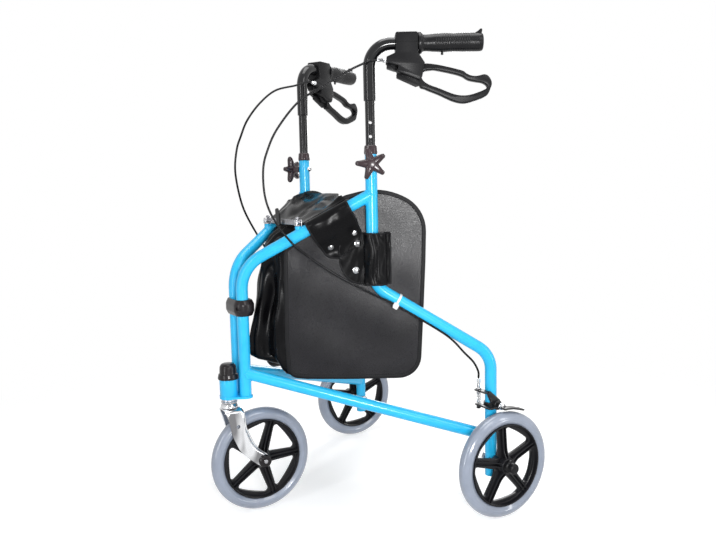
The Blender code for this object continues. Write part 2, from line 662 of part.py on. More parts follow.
def rim():
    """Moulded five-spoke wheel centre with ribbed spokes, turned about X."""
    outer = WHEEL_RADIUS - TYRE_DEPTH - GAP
    inner = outer - RIM_DEPTH
    ring_profile = [(outer, -RIM_HALF_WIDTH), (outer, RIM_HALF_WIDTH), (outer - 0.0035, RIM_HALF_WIDTH),
                    (inner, WEB_HALF_WIDTH * 0.8), (inner, -WEB_HALF_WIDTH * 0.8), (outer - 0.0035, -RIM_HALF_WIDTH)]
    ring = turned(ring_profile, WHEEL_SEGMENTS, closed=True, phase=math.pi / WHEEL_SEGMENTS)
    pitch = math.tau / SPOKE_COUNT
    openings = []
    for index in range(SPOKE_COUNT):
        middle = Matrix.Rotation(pitch * (index + 0.5), 2)
        tip = SPOKE_WIDTH / 2 / math.sin(pitch / 2) + SPOKE_RIB_WIDTH
        chord = inner * math.cos(pitch / 2) + SPOKE_RIB_WIDTH * 0.9
        spread = (chord - tip + SPOKE_RIB_WIDTH) * math.tan(pitch / 2)
        corners = rounded([(tip, 0), (chord, spread), (chord, -spread)], [0.003, 0.006, 0.006], steps=1)
        openings.append([middle @ corner for corner in corners])
    web = plate(circle(outer - 0.002, WHEEL_SEGMENTS, phase=math.pi / WHEEL_SEGMENTS),
                -WEB_HALF_WIDTH, WEB_HALF_WIDTH, openings)
    hub = turned([(0, -HUB_HALF_WIDTH), (HUB_RADIUS * 0.85, -HUB_HALF_WIDTH), (HUB_RADIUS, -HUB_HALF_WIDTH * 0.6),
                  (HUB_RADIUS, HUB_HALF_WIDTH * 0.6), (HUB_RADIUS * 0.85, HUB_HALF_WIDTH), (0, HUB_HALF_WIDTH)], 12)
    ribs = []
    for index in range(SPOKE_COUNT):
        half = SPOKE_RIB_WIDTH / 2
        rib = block((HUB_RADIUS * 0.7, inner + 0.002), (-half, half), (-SPOKE_RIB_HALF_HEIGHT, SPOKE_RIB_HALF_HEIGHT))
        ribs.append(moved(rib, Matrix.Rotation(pitch * index, 4, "Z")))
    bore = rod((0, 0, -HUB_HALF_WIDTH - REACH), (0, 0, HUB_HALF_WIDTH + REACH), AXLE_RADIUS + GAP, 10)
    mesh = cut(joined(ring, web, hub, *ribs), bore)
    return moved(mesh, ALONG_X)


def upright_collar():
    """Plastic ring on top of the upright that guides the handle."""
    bore = SLIDER_RADIUS + GAP
    foot = UPRIGHT_TOP_Z + GAP
    outer = bore + COLLAR_WALL
    top = foot + COLLAR_HEIGHT
    ring = turned([(bore, foot), (outer, foot), (outer, top - 0.003), (outer - 0.0012, top), (bore, top)], 16, closed=True)
    return shifted(ring, y=UPRIGHT_OUT)


def handle_tube():
    """Bent handle tube with the drilled slider welded into its lower end."""
    bend = rounded([(UPRIGHT_OUT, HANDLE_FOOT_Z), (UPRIGHT_OUT, GRIP_Z), (GRIP_END - 0.0037, GRIP_Z)],
                   HANDLE_BEND_RADIUS, steps=5, closed=False)
    slider = rod((0, UPRIGHT_OUT, SLIDER_FOOT_Z), (0, UPRIGHT_OUT, HANDLE_FOOT_Z + 0.012), SLIDER_RADIUS)
    bore = rod((0, UPRIGHT_OUT, SLIDER_FOOT_Z - REACH), (0, UPRIGHT_OUT, HANDLE_FOOT_Z + 0.006),
               SLIDER_RADIUS - SLIDER_WALL)
    holes = []
    for number in range(-HOLES_BELOW_KNOB, HOLES_ABOVE_KNOB + 1):
        height = KNOB_Z + number * HOLE_PITCH
        holes.append(rod((-TUBE_RADIUS, UPRIGHT_OUT, height), (TUBE_RADIUS, UPRIGHT_OUT, height), HOLE_RADIUS, 6))
    return cut(joined(round_bar(in_frame(bend), TUBE_RADIUS), slider), bore, *holes)


def grip():
    """Hand grip with a flange, a waist, a closed end and a raised heel."""
    bore = TUBE_RADIUS + GAP
    depth = GRIP_END - 0.0034 - GRIP_START
    length = GRIP_END - GRIP_START
    profile = [(bore, 0), (GRIP_FLANGE_RADIUS - 0.001, 0), (GRIP_FLANGE_RADIUS, 0.003), (GRIP_RADIUS - 0.001, 0.007),
               (GRIP_RADIUS - 0.002, 0.013), (GRIP_RADIUS, 0.025), (GRIP_RADIUS, length - 0.005),
               (GRIP_RADIUS - 0.003, length), (0, length), (0, depth), (bore, depth)]
    sleeve = turned(profile, 14, closed=True)
    sleeve = shifted(moved(sleeve, ALONG_Y), y=GRIP_START, z=GRIP_Z)
    top = GRIP_Z + GRIP_RADIUS
    heel_outline = rounded([(GRIP_END - 0.014, top - 0.003), (GRIP_END - 0.0045, top - 0.003),
                            (GRIP_END - 0.0025, top + 0.006), (GRIP_END - 0.009, top + 0.006)], 0.002, steps=2)
    heel = side_plate(heel_outline, -0.004, 0.004)
    peg_out = GRIP_START + 0.043
    peg = rod((0, peg_out, GRIP_Z - GRIP_RADIUS - 0.005), (0, peg_out, GRIP_Z - GRIP_RADIUS + 0.002), 0.0022, 8)
    return joined(sleeve, heel, peg)


def brake_housing():
    """Clamp block on the handle with two cheeks that carry the lever."""
    top = GRIP_Z + HOUSING_HALF_HEIGHT
    under = GRIP_Z - HOUSING_HALF_HEIGHT
    front = HOUSING_FRONT - 0.0166
    corners = [(HOUSING_FRONT, top), (HOUSING_REAR, top), (HOUSING_REAR - 0.001, under), (HOUSING_REAR + 0.011, GRIP_Z - 0.0365),
               (HOUSING_REAR + 0.006, GRIP_Z - 0.0605), (HOUSING_REAR + 0.0018, GRIP_Z - 0.0670),
               (HOUSING_FRONT + 0.0015, GRIP_Z - 0.0505), (HOUSING_FRONT + 0.005, GRIP_Z - 0.0410),
               (front, CABLE_ENTRY_Z - 0.0045), (front, CABLE_ENTRY_Z + 0.0055), (HOUSING_FRONT, under)]
    body = side_plate(rounded(corners, [0.003, 0.003, 0.002, 0.004, 0.003, 0.002, 0.002, 0.002, 0.002, 0.002, 0.002], steps=1),
                      -HOUSING_HALF_WIDTH, HOUSING_HALF_WIDTH)
    bore = rod((0, HOUSING_FRONT - REACH, GRIP_Z), (0, HOUSING_REAR + REACH, GRIP_Z), TUBE_RADIUS + GAP)
    slot_half = LEVER_HALF_WIDTH + LEVER_SLOT_SIDE
    slot = block((-slot_half, slot_half), (front - REACH, HOUSING_REAR + 0.02), (GRIP_Z - 0.0835, under - 0.0100))
    pin_half = HOUSING_HALF_WIDTH - 0.0040
    pin_hole = rod((-pin_half, *ROCKER_PIVOT), (pin_half, *ROCKER_PIVOT), PIVOT_RADIUS + GAP, 12)
    return cut(body, bore, slot, pin_hole)


def brake_rocker():
    """Parking rocker inside the housing, which carries the lever's pivot."""
    split = GAP / 2
    out, height = ROCKER_PIVOT
    nose = rounded([(out - 0.0245, height + 0.0015), (out - 0.009, height - 0.004), (out - 0.009, height + 0.0125),
                    (out - 0.0245, height + 0.0095)], 0.0012, steps=1)
    tail = rounded([(out - 0.013, height - 0.002), (out, height - 0.0065), (LEVER_PIVOT[0] - 0.006, LEVER_PIVOT[1] - 0.0055),
                    (LEVER_PIVOT[0] + 0.006, LEVER_PIVOT[1] - 0.0055), (LEVER_PIVOT[0] + 0.0075, LEVER_PIVOT[1] + 0.005),
                    (out + 0.007, height + 0.0075), (out - 0.006, height + 0.0115), (out - 0.013, height + 0.0115)],
                   0.002, steps=1)
    trunnion_half = HOUSING_HALF_WIDTH - 0.0040 - GAP
    trunnion = rod((-trunnion_half, *ROCKER_PIVOT), (trunnion_half, *ROCKER_PIVOT), PIVOT_RADIUS, 12)
    pin = rod((-LEVER_HALF_WIDTH * 0.6, *LEVER_PIVOT), (LEVER_HALF_WIDTH, *LEVER_PIVOT), PIVOT_RADIUS, 12)
    return joined(side_plate(nose, -LEVER_HALF_WIDTH, LEVER_HALF_WIDTH),
                  side_plate(tail, -LEVER_HALF_WIDTH + GAP, -split), trunnion, pin)


def from_pivot(offsets):
    """Points given by their distances behind and above the lever's pivot."""
    return [(LEVER_PIVOT[0] + out, LEVER_PIVOT[1] + up) for out, up in offsets]


def brake_lever():
    """Loop lever: an open finger loop and a half-width root on the rocker's pin."""
    outer = from_pivot([(0.0115, 0.0225), (0.0240, 0.0265), (0.0490, 0.0225), (0.0890, 0.0120),
                        (0.1070, 0.0020), (0.1170, 0.0005), (0.1320, 0.0040), (0.1400, -0.0015),
                        (0.1440, -0.0110), (0.1420, -0.0200), (0.1340, -0.0340), (0.1110, -0.0430),
                        (0.0930, -0.0465), (0.0740, -0.0425), (0.0490, -0.0310), (0.0200, -0.0190),
                        (0.0115, -0.0155)])
    inner = from_pivot([(0.0195, 0.0070), (0.0240, 0.0115), (0.0340, 0.0135), (0.0450, 0.0125),
                        (0.0850, 0.0030), (0.1010, -0.0065), (0.1130, -0.0085), (0.1290, -0.0120),
                        (0.1350, -0.0205), (0.1110, -0.0300), (0.0930, -0.0325), (0.0750, -0.0295),
                        (0.0490, -0.0190), (0.0330, -0.0135), (0.0230, -0.0070), (0.0180, 0.0000)])
    loop = side_plate(outer, -LEVER_HALF_WIDTH, LEVER_HALF_WIDTH, [inner])
    root = from_pivot([(-0.0275, 0.0000), (0.0070, -0.0160), (0.0140, -0.0150), (0.0140, 0.0210),
                       (0.0080, 0.0180), (-0.0070, 0.0095), (-0.0275, 0.0075)])
    tongue = side_plate(rounded(root, 0.0015, steps=1), GAP / 2, LEVER_HALF_WIDTH - GAP)
    hole = rod((-LEVER_HALF_WIDTH, *LEVER_PIVOT), (LEVER_HALF_WIDTH + REACH, *LEVER_PIVOT), PIVOT_RADIUS + GAP, 12)
    return cut(joined(loop, tongue), hole)


def cable_adjuster(side):
    """Barrel adjuster where the cable leaves the housing, on one side of the handle tube."""
    length = HOUSING_FRONT - 0.0166 - GAP - cable_start()
    profile = [(0, 0), (0.0026, 0), (0.0030, 0.004), (0.0030, length - 0.0065), (0.0042, length - 0.0060),
               (0.0042, length), (0, length)]
    mesh = moved(turned(profile, 12), ALONG_Y)
    return shifted(mesh, x=side * CABLE_SIDE, y=cable_start(), z=CABLE_ENTRY_Z)


def cable_start():
    """Distance from the post at which the cable enters its adjuster."""
    return UPRIGHT_OUT + 0.0140


def knob():
    """Five-pointed clamping knob with a neck that reaches the upright."""
    tips = 5
    corners = []
    radii = []
    for index in range(tips):
        angle = math.radians(105) + math.tau * index / tips
        along = Vector((math.cos(angle), math.sin(angle)))
        aside = Vector((-along.y, along.x)) * KNOB_TIP_RADIUS * 0.17
        notch = angle + math.pi / tips
        corners += [along * KNOB_TIP_RADIUS - aside, along * KNOB_TIP_RADIUS + aside,
                    Vector((math.cos(notch), math.sin(notch))) * KNOB_TIP_RADIUS * 0.42]
        radii += [0.0035, 0.0035, 0.004]
    low = TUBE_RADIUS + KNOB_STANDOFF
    star = side_plate(rounded(corners, radii, steps=1), low, low + KNOB_THICKNESS)
    neck = rod((TUBE_RADIUS + GAP * 2, 0, 0), (low + KNOB_THICKNESS + 0.0025, 0, 0), KNOB_TIP_RADIUS * 0.30, 14)
    bore = rod((TUBE_RADIUS - REACH, 0, 0), (low + KNOB_THICKNESS * 0.6, 0, 0), KNOB_STUD_RADIUS + GAP, 10)
    return cut(joined(star, neck), bore)


def knob_stud():
    """Threaded stud of the knob, which reaches through the upright's wall."""
    end = TUBE_RADIUS + KNOB_STANDOFF + KNOB_THICKNESS * 0.6 - GAP
    return rod((SLIDER_RADIUS + GAP * 2, 0, 0), (end, 0, 0), KNOB_STUD_RADIUS, 10)


def rod_place():
    """Place of the brake rod beside the leg, seen from the axle."""
    return -ROD_AHEAD * math.sin(FRAME_ANGLE), -ROD_AHEAD * math.cos(FRAME_ANGLE)


def brake_bracket():
    """Clamp on the leg with a tab for the cable and an ear for the shoe's pivot."""
    outer = TUBE_RADIUS + GAP + CLAMP_WALL
    ring = rod((0, 0, CLAMP_FOOT_Z), (0, 0, CLAMP_TOP_Z), outer)
    ear_foot = BRAKE_PIVOT_Z - 0.010
    ear_outline = rounded([(-0.005, ear_foot), (0.009, ear_foot), (0.009, BRAKE_PIVOT_Z + 0.006),
                           (-0.005, BRAKE_PIVOT_Z + 0.006)], 0.003, steps=2)
    ear = side_plate(ear_outline, TUBE_RADIUS * 0.8, BRAKE_EAR_OUT)
    reach = ROD_AHEAD
    foot = ADJUSTER_TAB_Z
    tab_outline = [(-TUBE_RADIUS, foot - 0.028), (-TUBE_RADIUS, foot - 0.011), (-TUBE_RADIUS - 0.008, foot + 0.003),
                   (-reach - 0.006, foot + 0.003), (-reach - 0.006, foot), (-reach + 0.005, foot),
                   (-outer, foot - 0.011), (-outer, foot - 0.028)]
    tab = moved(side_plate(tab_outline, -0.006, 0.006), Matrix.Rotation(-FRAME_ANGLE, 4, "Z"))
    leg = rod((0, 0, CLAMP_FOOT_Z - REACH), (0, 0, CLAMP_TOP_Z + 0.02), TUBE_RADIUS + GAP)
    x, y = rod_place()
    rod_hole = rod((x, y, foot - REACH), (x, y, foot + 0.003 + REACH), 0.0029, 12)
    bolt_hole = rod((TUBE_RADIUS * 0.5, BRAKE_PIVOT_BACK, BRAKE_PIVOT_Z), (BRAKE_EAR_OUT + REACH, BRAKE_PIVOT_BACK, BRAKE_PIVOT_Z),
                    PIVOT_RADIUS + GAP, 12)
    return cut(joined(ring, ear, tab), leg, rod_hole, bolt_hole)


def brake_shoe():
    """Pressed shoe: a pad curved over the tyre, a barrel on the pivot and an arm to the cable."""
    low = WHEEL_OUT - SHOE_HALF_WIDTH
    high = WHEEL_OUT + SHOE_HALF_WIDTH
    radius = WHEEL_RADIUS + SHOE_GAP
    start = math.pi / 2 - math.radians(1.0)
    end = math.pi / 2 - SHOE_ARC
    inner = arc(radius, start, end, 6)
    outer = arc(radius + SHOE_THICKNESS, end, start, 6)
    pad_outline = [(y, z + AXLE_Z) for y, z in inner + outer]
    pad = side_plate(pad_outline, low, high)
    barrel_start = BRAKE_EAR_OUT + GAP
    barrel = rod((barrel_start, BRAKE_PIVOT_BACK, BRAKE_PIVOT_Z), (high + GAP, BRAKE_PIVOT_BACK, BRAKE_PIVOT_Z),
                 BRAKE_BARREL_RADIUS, 14)
    x, y = rod_place()
    arm_outline = rounded([(barrel_start, BRAKE_PIVOT_BACK), (barrel_start + 0.009, BRAKE_PIVOT_BACK),
                           (barrel_start + 0.009, y - 0.0055), (x - 0.006, y - 0.0055), (x - 0.006, y + 0.0045),
                           (barrel_start, y + 0.0045)], [0.0, 0.0, 0.004, 0.003, 0.003, 0.0], steps=2)
    arm = plate(arm_outline, ARM_FOOT_Z, ARM_FOOT_Z + ARM_THICKNESS)
    anchor = rod((x, y, ARM_FOOT_Z - 0.006), (x, y, ARM_FOOT_Z + ARM_THICKNESS / 2), 0.0040, 12)
    bolt_hole = rod((0, BRAKE_PIVOT_BACK, BRAKE_PIVOT_Z), (high + REACH, BRAKE_PIVOT_BACK, BRAKE_PIVOT_Z),
                    PIVOT_RADIUS + GAP, 12)
    wire_hole = rod((x, y, ARM_FOOT_Z - 0.006 - REACH), (x, y, ARM_FOOT_Z + ARM_THICKNESS + REACH), 0.0014, 8)
    return cut(joined(barrel, pad, arm, anchor), bolt_hole, wire_hole)


def brake_bolt():
    """Pivot bolt of the shoe, held in the bracket's ear."""
    start = TUBE_RADIUS + GAP + CLAMP_WALL
    end = WHEEL_OUT + SHOE_HALF_WIDTH + 2 * GAP
    return bolt_along_x([start, (end, PIVOT_RADIUS), (end + 0.0035, 0.0058)])


def cable_stop():
    """Threaded cable stop with its lock nut, and the inner wire down to the shoe's arm."""
    foot = ADJUSTER_TAB_Z
    seat = foot + 0.003 + GAP
    profile = [(0, ARM_FOOT_Z - 0.005), (0.0008, ARM_FOOT_Z - 0.005), (0.0008, foot - 0.002), (0.0026, foot - 0.002),
               (0.0026, seat), (0.0046, seat), (0.0046, seat + 0.0035), (0.0030, seat + 0.0035),
               (0.0030, cable_end_z() - 0.010), (0.0036, cable_end_z() - 0.0095), (0.0036, cable_end_z()), (0, cable_end_z())]
    x, y = rod_place()
    return shifted(turned(profile, 10), x=x, y=y)


def cable_end_z():
    """Height at which the cable enters its stop."""
    return ADJUSTER_TAB_Z + 0.0240


def brake_spring():
    """Return spring between the tab and the shoe's arm, one unbroken wire."""
    foot = ARM_FOOT_Z + ARM_THICKNESS + GAP + SPRING_WIRE_RADIUS * 1.3
    top = ADJUSTER_TAB_Z - GAP - SPRING_WIRE_RADIUS * 1.3
    steps = SPRING_TURNS * 8
    x, y = rod_place()
    points = []
    for index in range(steps + 1):
        angle = math.tau * index / 8
        height = foot + (top - foot) * index / steps
        points.append(Vector((x + SPRING_RADIUS * math.cos(angle), y + SPRING_RADIUS * math.sin(angle), height)))
    gaps = [(points[i] - points[j]).length for i in range(len(points)) for j in range(i + 6, len(points))]
    print(f"least gap of the spring to itself: {(min(gaps) - 2 * SPRING_WIRE_RADIUS) * 1000:.2f} mm")
    return round_bar(points, SPRING_WIRE_RADIUS, resolution=1)


def slope_cable_point(out):
    """Point of the cable tucked against the outer lower side of the lower sloping tube."""
    away = (TUBE_RADIUS + CABLE_RADIUS + GAP) / math.sqrt(2)
    return (away, out - away * math.sin(LOWER_SLOPE), lower_slope_point(out) - away * math.cos(LOWER_SLOPE))


def cable_route(side):
    """Knots of the brake cable, from the hand brake down to the tyre brake."""
    # Each knot of the loop is off the plane, out along the frame, and a share of the way up from the crossing
    start = (side * CABLE_SIDE, cable_start() - GAP, CABLE_ENTRY_Z)
    if side > 0:
        loop = [(0.0136, 0.2440, 0.9983), (0.0136, 0.2310, 0.9812), (0.0136, 0.2080, 0.9509),
                (0.0132, 0.1600, 0.8728), (0.0128, 0.1160, 0.7977), (0.0126, 0.0770, 0.6647),
                (0.0130, 0.0580, 0.5549), (0.0136, 0.0490, 0.4538), (0.0142, 0.0510, 0.3092),
                (0.0148, 0.0665, 0.1879), (0.0152, 0.0960, 0.0708)]
    else:
        loop = [(-0.0136, 0.2440, 0.9988), (-0.0136, 0.2290, 0.9870), (-0.0136, 0.1990, 0.9624),
                (-0.0120, 0.1340, 0.9162), (-0.0080, 0.0880, 0.8353), (-0.0040, 0.0520, 0.7341),
                (0.0000, 0.0350, 0.6416), (0.0040, 0.0270, 0.5723), (0.0090, 0.0260, 0.4624),
                (0.0120, 0.0380, 0.3353), (0.0140, 0.0570, 0.2254), (0.0152, 0.0930, 0.0954)]
    rise = CABLE_ENTRY_Z - CABLE_CROSSING_Z
    loop = [(off, out, CABLE_CROSSING_Z + rise * share) for off, out, share in loop]
    across = [(0.0158, 0.1240, CABLE_CROSSING_Z), (0.0158, 0.1650, CABLE_CROSSING_Z - 0.0295),
              (0.0150, UPRIGHT_OUT - 0.0380, UPRIGHT_CORNER_Z + 0.0053), (0.0118, UPRIGHT_OUT + 0.0010, UPRIGHT_CORNER_Z - 0.0162)]
    drop = [(0.0090, LEG_OUT - 0.0730, LEG_CORNER_Z + 0.0305), (0.0060, LEG_OUT - 0.0510, LEG_CORNER_Z + 0.0060),
            (0.0026, LEG_OUT - 0.0330, LEG_CORNER_Z - 0.0135), (0.0, LEG_OUT - 0.0235, LEG_CORNER_Z - 0.0325)]
    end = (0.0, LEG_OUT - ROD_AHEAD, cable_end_z() + GAP)
    return [start, *loop, *across, slope_cable_point(CLIP_OUT), slope_cable_point(LEG_OUT - 0.0960), *drop, end]


def brake_cable(side):
    """Brake cable of one side."""
    knots = [(side * x, y, z) for x, y, z in cable_route(side)]
    route, length = smooth_route(knots, CABLE_POINTS)
    print(f"brake cable length: {length:.3f} m")
    return round_bar(route, CABLE_RADIUS, resolution=2)


def cable_clip():
    """Clip that ties the cable to the lower sloping tube."""
    along = Vector((0, math.cos(LOWER_SLOPE), -math.sin(LOWER_SLOPE)))
    middle = Vector((0, CLIP_OUT, lower_slope_point(CLIP_OUT)))
    cable = Vector(slope_cable_point(CLIP_OUT))
    half = along * 0.004
    band = rod(middle - half, middle + half, TUBE_RADIUS + GAP + CLIP_BAND, 16)
    hood = rod(cable - half, cable + half, CABLE_RADIUS + 0.0020, 12)
    far = along * 0.006
    tube = rod(middle - far, middle + far, TUBE_RADIUS + GAP, 16)
    cable_hole = rod(cable - far, cable + far, CABLE_RADIUS + GAP * 1.5, 12)
    return cut(joined(band, hood), tube, cable_hole)


def clevis_foot():
    """Height of the underside of the brace's clevis."""
    return BRACE_Z - LINK_HALF_HEIGHT - GAP - CLEVIS_BASE


def brace_clevis():
    """Swivelling clevis of the fold brace, with its pin below and a rivet across."""
    foot = clevis_foot() - BRACE_Z
    cheek = LINK_THICKNESS + GAP * 2
    wall = cheek + CLEVIS_WALL
    base = rod((0, 0, foot), (0, 0, foot + CLEVIS_BASE), CLEVIS_RADIUS, 12)
    half = CLEVIS_RADIUS * 0.96
    low = foot + CLEVIS_BASE / 2
    cheek_outline = rounded([(-half, low), (half, low), (half, 0.0055), (-half, 0.0055)],
                            [0.0, 0.0, 0.004, 0.004], steps=2)
    front = moved(plate(cheek_outline, cheek, wall), FRONT_PLANE)
    back = moved(plate(cheek_outline, -wall, -cheek), FRONT_PLANE)
    swivel = rod((0, 0, foot - 0.0055), (0, 0, foot + CLEVIS_BASE / 2), BRACE_PIN_RADIUS, 10)
    rivet = rod((0, -wall - 0.0010, 0), (0, wall + 0.0010, 0), 0.0025, 8)
    return joined(base, front, back, swivel, rivet)


def brace_link(side):
    """Flat link from the clevis to just past the middle, one in front of the other."""
    length = POST_HALF_SPACING + BRACE_OUT * math.sin(FRAME_ANGLE)
    rear = side > 0
    low = GAP / 2 if rear else -LINK_THICKNESS - GAP / 2
    start = arc(LINK_HALF_HEIGHT, math.radians(-90), math.radians(90), 5)
    end = arc(LINK_HALF_HEIGHT, math.radians(90), math.radians(270), 5, (-length, 0))
    outline = [*start, *end]
    holes = [circle(0.0028, 10), circle(0.0028, 10, (-length, 0))]
    if rear:
        return moved(plate(outline, -low - LINK_THICKNESS, -low, holes), FRONT_PLANE)
    mesh = moved(plate(outline, -low - LINK_THICKNESS, -low, holes[:1]), FRONT_PLANE)
    head = low - 0.0014
    rivet = rod((-length, head, 0), (-length, low + 0.001, 0), 0.0042, 12)
    return mirrored(joined(mesh, rivet))


def fold_tab():
    """Pull tab on the middle of the brace, hooked over the front link."""
    front = -LINK_THICKNESS - GAP / 2 - 0.0014 - GAP
    outline = rounded([(-0.0075, -0.0070), (0.0055, -0.0070), (0.0035, TAB_HEIGHT * 0.6), (-0.0050, TAB_HEIGHT),
                       (-0.0140, TAB_HEIGHT * 0.9), (-0.0100, 0.0050)], 0.0025, steps=2)
    mesh = plate(outline, -front, -front + 0.0030)
    return moved(mesh, FRONT_PLANE)


def panel_outline():
    """Outline of a bag panel in the plane of the frame."""
    corners = [(PANEL_FRONT + 0.003, PANEL_TOP_Z - 0.108), (PANEL_FRONT, 0.336), (PANEL_FRONT + 0.003, PANEL_BOTTOM_Z + 0.006),
               (0.115, PANEL_BOTTOM_Z + 0.002), (0.200, PANEL_BOTTOM_Z), (PANEL_REAR - 0.012, PANEL_BOTTOM_Z),
               (PANEL_REAR - 0.004, 0.400), (PANEL_REAR, 0.480), (PANEL_REAR + 0.001, PANEL_TOP_Z - 0.030),
               (0.250, PANEL_TOP_Z + 0.002), (0.190, PANEL_TOP_Z - 0.006), (0.140, PANEL_TOP_Z - 0.054)]
    radii = [0.004, 0.05, 0.022, 0.0, 0.0, 0.042, 0.05, 0.05, 0.040, 0.06, 0.020, 0.03]
    return rounded(corners, radii, steps=2)


def bag_panel():
    """Stiff bag panel with a flap over the upper tube and a wrap round the upright."""
    panel = side_plate(panel_outline(), PANEL_OFF - PANEL_THICKNESS, PANEL_OFF)
    return joined(panel, tube_flap(), upright_wrap())


def tube_flap():
    """Flap that passes over the upper sloping tube and closes against the panel below it."""
    mid = TUBE_RADIUS + STRAP_GAP + STRAP_THICKNESS / 2
    inner = PANEL_OFF - STRAP_THICKNESS * 0.6
    over = arc(mid, math.radians(150), math.radians(0), 6)
    path = [(inner, 0.0), *over, (mid - 0.003, -0.014), (0.0, -0.032), (PANEL_OFF * 0.75, -0.044), (inner, -FLAP_DROP)]
    strap = plate(strip_outline(path, STRAP_THICKNESS), 0, FLAP_LENGTH)
    tongue = rounded([(0.0, mid * 2), (0.0, -0.020), (0.012, -FLAP_DROP - 0.001), (0.045, -FLAP_DROP - 0.001),
                      (FLAP_LENGTH, -0.046), (FLAP_LENGTH, mid * 2)], [0.0, 0.012, 0.014, 0.02, 0.008, 0.0])
    strap = within(strap, moved(plate([(across, along) for along, across in tongue], -0.03, 0.03), TONGUE_TURN))
    slope = Matrix.Rotation(UPPER_SLOPE, 4, "X")
    return moved(strap, Matrix.Translation((0, 0, POST_CORNER_Z)) @ slope @ FLAP_TURN @ Matrix.Translation((0, 0, FLAP_START)))


# A flap is drawn with X across the tube, Y at right angles to it in the frame's plane and Z along it
FLAP_TURN = Matrix(((1, 0, 0, 0), (0, 0, 1, 0), (0, 1, 0, 0), (0, 0, 0, 1)))
TONGUE_TURN = Matrix(((0, 0, 1, 0), (1, 0, 0, 0), (0, 1, 0, 0), (0, 0, 0, 1)))


def upright_wrap():
    """Wide strap round the upright, with a rounded tongue that closes on the panel."""
    inner = PANEL_OFF - STRAP_THICKNESS * 0.6
    bulge = TUBE_RADIUS + STRAP_GAP + STRAP_THICKNESS / 2
    middle = UPRIGHT_OUT + 0.005
    spread = TUBE_RADIUS + 0.0095
    path = [(inner, middle + spread + 0.016), (PANEL_OFF + 0.002, middle + spread + 0.004)]
    for index in range(8):
        angle = math.radians(-32 + 244 * index / 7)
        path.append((bulge * math.sin(angle), middle + spread * math.cos(angle)))
    path += [(PANEL_OFF + 0.002, middle - spread - 0.004), (inner, middle - spread - 0.016), (inner, middle - spread - 0.044)]
    strap = plate(strip_outline(path, STRAP_THICKNESS), WRAP_FOOT_Z, WRAP_FOOT_Z + WRAP_HEIGHT)
    left = middle - spread - 0.046
    right = middle + spread + 0.018
    top = WRAP_FOOT_Z + WRAP_HEIGHT
    outline = rounded([(left, WRAP_FOOT_Z - 0.001), (right, WRAP_FOOT_Z - 0.001), (right, top + 0.001), (left, top + 0.001)],
                      [0.040, 0.0, 0.0, 0.020], steps=4)
    return within(strap, side_plate(outline, -0.03, 0.03))


def bag_gusset():
    """Soft half of the bag's front, bottom and rear, from a panel to the middle fold."""
    # Each row joins a point on the panel's edge to a point on the middle fold
    inset = PANEL_OFF - PANEL_THICKNESS - 0.0012
    front = PANEL_FRONT + 0.006
    rear = PANEL_REAR - 0.008
    bottom = PANEL_BOTTOM_Z + 0.005
    rows = [((front + 0.002, 0.500), (0.052, 0.492)), ((front, 0.420), (0.040, 0.410)), ((front, 0.345), (0.024, 0.350)),
            ((front + 0.002, 0.300), (0.024, 0.312)), ((front + 0.014, bottom + 0.006), (0.050, 0.291)),
            ((0.150, bottom + 0.002), (0.120, 0.272)), ((0.240, bottom), (0.210, 0.266)),
            ((rear - 0.040, bottom + 0.002), (0.262, 0.268)), ((rear - 0.010, 0.300), (0.280, 0.300)),
            ((rear - 0.005, 0.400), (0.290, 0.400)), ((rear, 0.500), (0.294, 0.490)), ((rear, PANEL_TOP_Z - 0.050), (0.296, 0.545))]
    bm = bmesh.new()
    grid = []
    columns = 3
    for (out, height), (middle_y, middle_z) in rows:
        x = POST_HALF_SPACING + out * math.sin(FRAME_ANGLE) + inset * math.cos(FRAME_ANGLE)
        y = out * math.cos(FRAME_ANGLE) - inset * math.sin(FRAME_ANGLE)
        edge = Vector((x, y, height))
        fold = Vector((GAP / 2, middle_y, middle_z))
        grid.append([bm.verts.new(fold.lerp(edge, column / columns)) for column in range(columns + 1)])
    for lower, upper in zip(grid, grid[1:]):
        for a, b, c, d in zip(lower, lower[1:], upper[1:], upper):
            bm.faces.new((a, b, c, d))
    bmesh.ops.recalc_face_normals(bm, faces=bm.faces)
    mesh = bpy.data.meshes.new("gusset")
    bm.to_mesh(mesh)
    bm.free()
    sheet = helper(mesh)
    thicken = sheet.modifiers.new("thicken", "SOLIDIFY")
    thicken.thickness = GUSSET_THICKNESS
    thicken.offset = 0
    thicken.use_rim = True
    solid = tidy(evaluated_mesh(sheet))
    half = block((GAP / 2, 0.3), (-0.1, 0.5), (0.2, 0.7))
    return within(solid, half)


